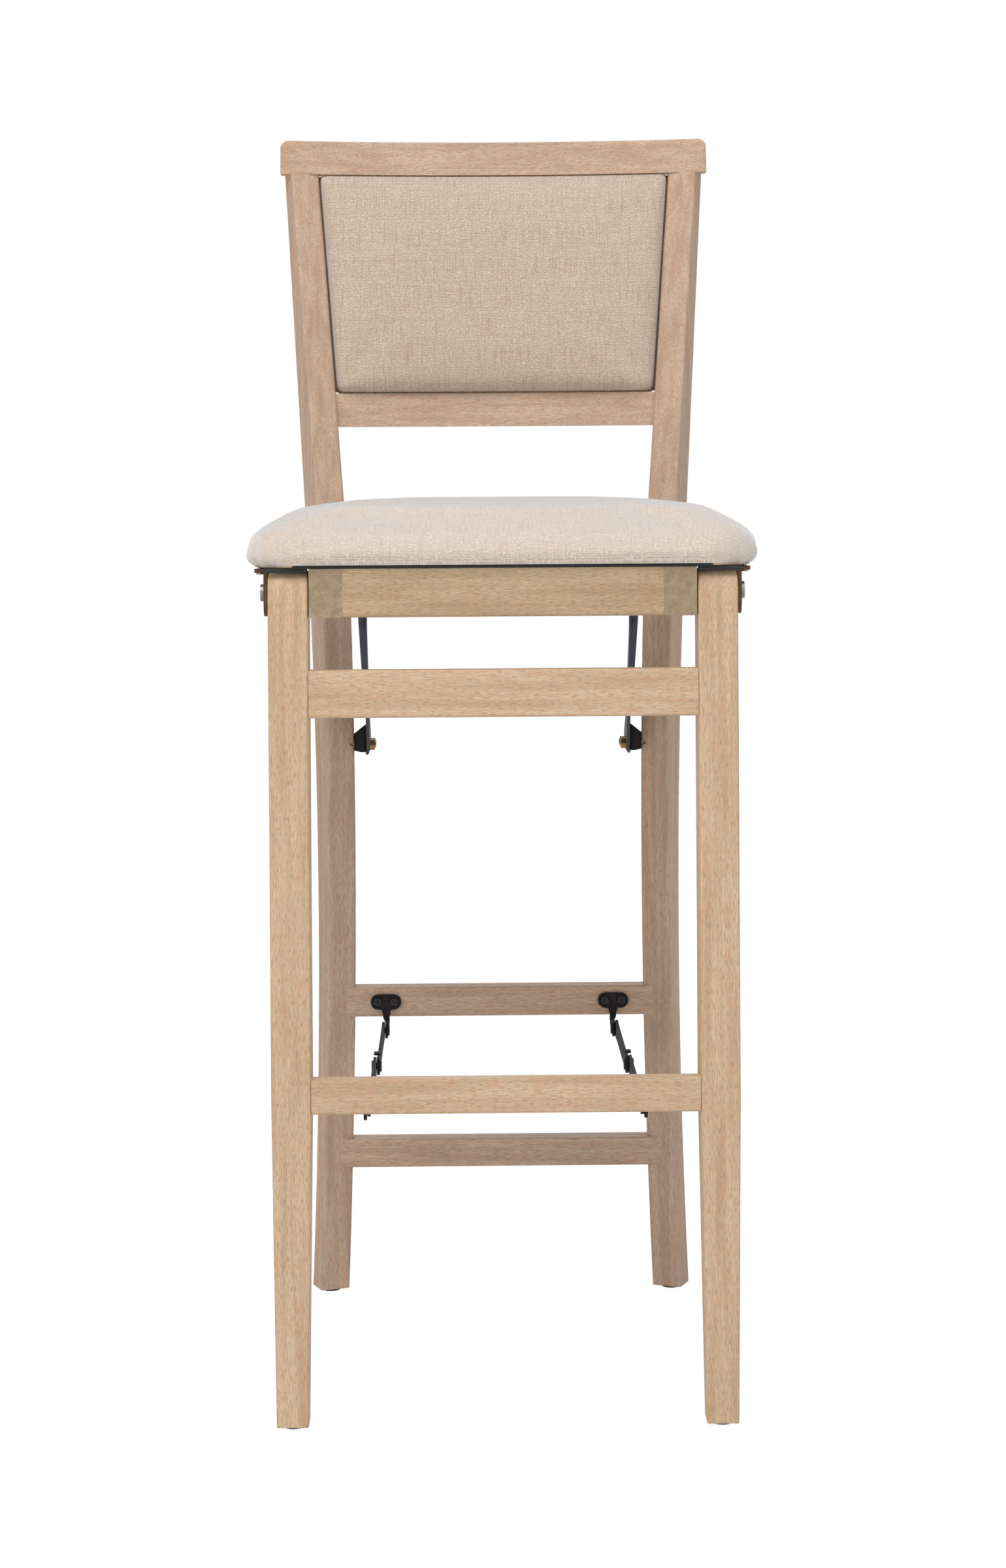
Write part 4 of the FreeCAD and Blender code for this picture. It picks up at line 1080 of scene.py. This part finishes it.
def makeWorld():
    world = bpy.data.worlds.new("studio")
    world.use_nodes = True
    bpy.context.scene.world = world
    tree = world.node_tree
    tree.nodes.clear()
    seen, fill = (tree.nodes.new("ShaderNodeBackground") for _ in range(2))
    seen.inputs["Color"].default_value = fill.inputs["Color"].default_value = (1, 1, 1, 1)
    seen.inputs["Strength"].default_value = 1.0
    fill.inputs["Strength"].default_value = stage["worldFill"]
    mix = tree.nodes.new("ShaderNodeMixShader")
    end = tree.nodes.new("ShaderNodeOutputWorld")
    tree.links.new(rayKinds(tree), mix.inputs[0])
    tree.links.new(fill.outputs[0], mix.inputs[1])
    tree.links.new(seen.outputs[0], mix.inputs[2])
    tree.links.new(mix.outputs[0], end.inputs["Surface"])


def makeFloor():
    bm = bmesh.new()
    bmesh.ops.create_grid(bm, x_segments=1, y_segments=1, size=stage["floorHalf"])
    material = bpy.data.materials.new("paleFloor")
    material.use_nodes = True
    tree = material.node_tree
    tree.nodes.clear()
    matt = tree.nodes.new("ShaderNodeBsdfDiffuse")
    matt.inputs["Color"].default_value = (*[stage["floorTone"]] * 3, 1)
    glow = tree.nodes.new("ShaderNodeEmission")
    glow.inputs["Strength"].default_value = stage["floorGlow"]
    share = tree.nodes.new("ShaderNodeMath")
    share.operation = "MULTIPLY"
    share.inputs[1].default_value = stage["floorWhite"]
    tree.links.new(rayKinds(tree), share.inputs[0])
    mix = tree.nodes.new("ShaderNodeMixShader")
    end = tree.nodes.new("ShaderNodeOutputMaterial")
    tree.links.new(share.outputs[0], mix.inputs[0])
    tree.links.new(matt.outputs[0], mix.inputs[1])
    tree.links.new(glow.outputs[0], mix.inputs[2])
    tree.links.new(mix.outputs[0], end.inputs["Surface"])
    pieceFrom(bm, "floor", material, smooth=False)


def makeLamps():
    for name, place, target, size, watts in stage["lamps"]:
        lamp = bpy.data.lights.new(name, "AREA")
        lamp.shape, lamp.size, lamp.energy = "DISK", size, watts
        holder = bpy.data.objects.new(name, lamp)
        holder.location = place
        holder.rotation_euler = (Vector(target) - Vector(place)).to_track_quat("-Z", "Y").to_euler()
        bpy.context.scene.collection.objects.link(holder)


makeWorld()
makeFloor()
makeLamps()
bpy.context.scene.view_settings.view_transform = "Standard"
print("stage made")

bpy.context.view_layer.update()
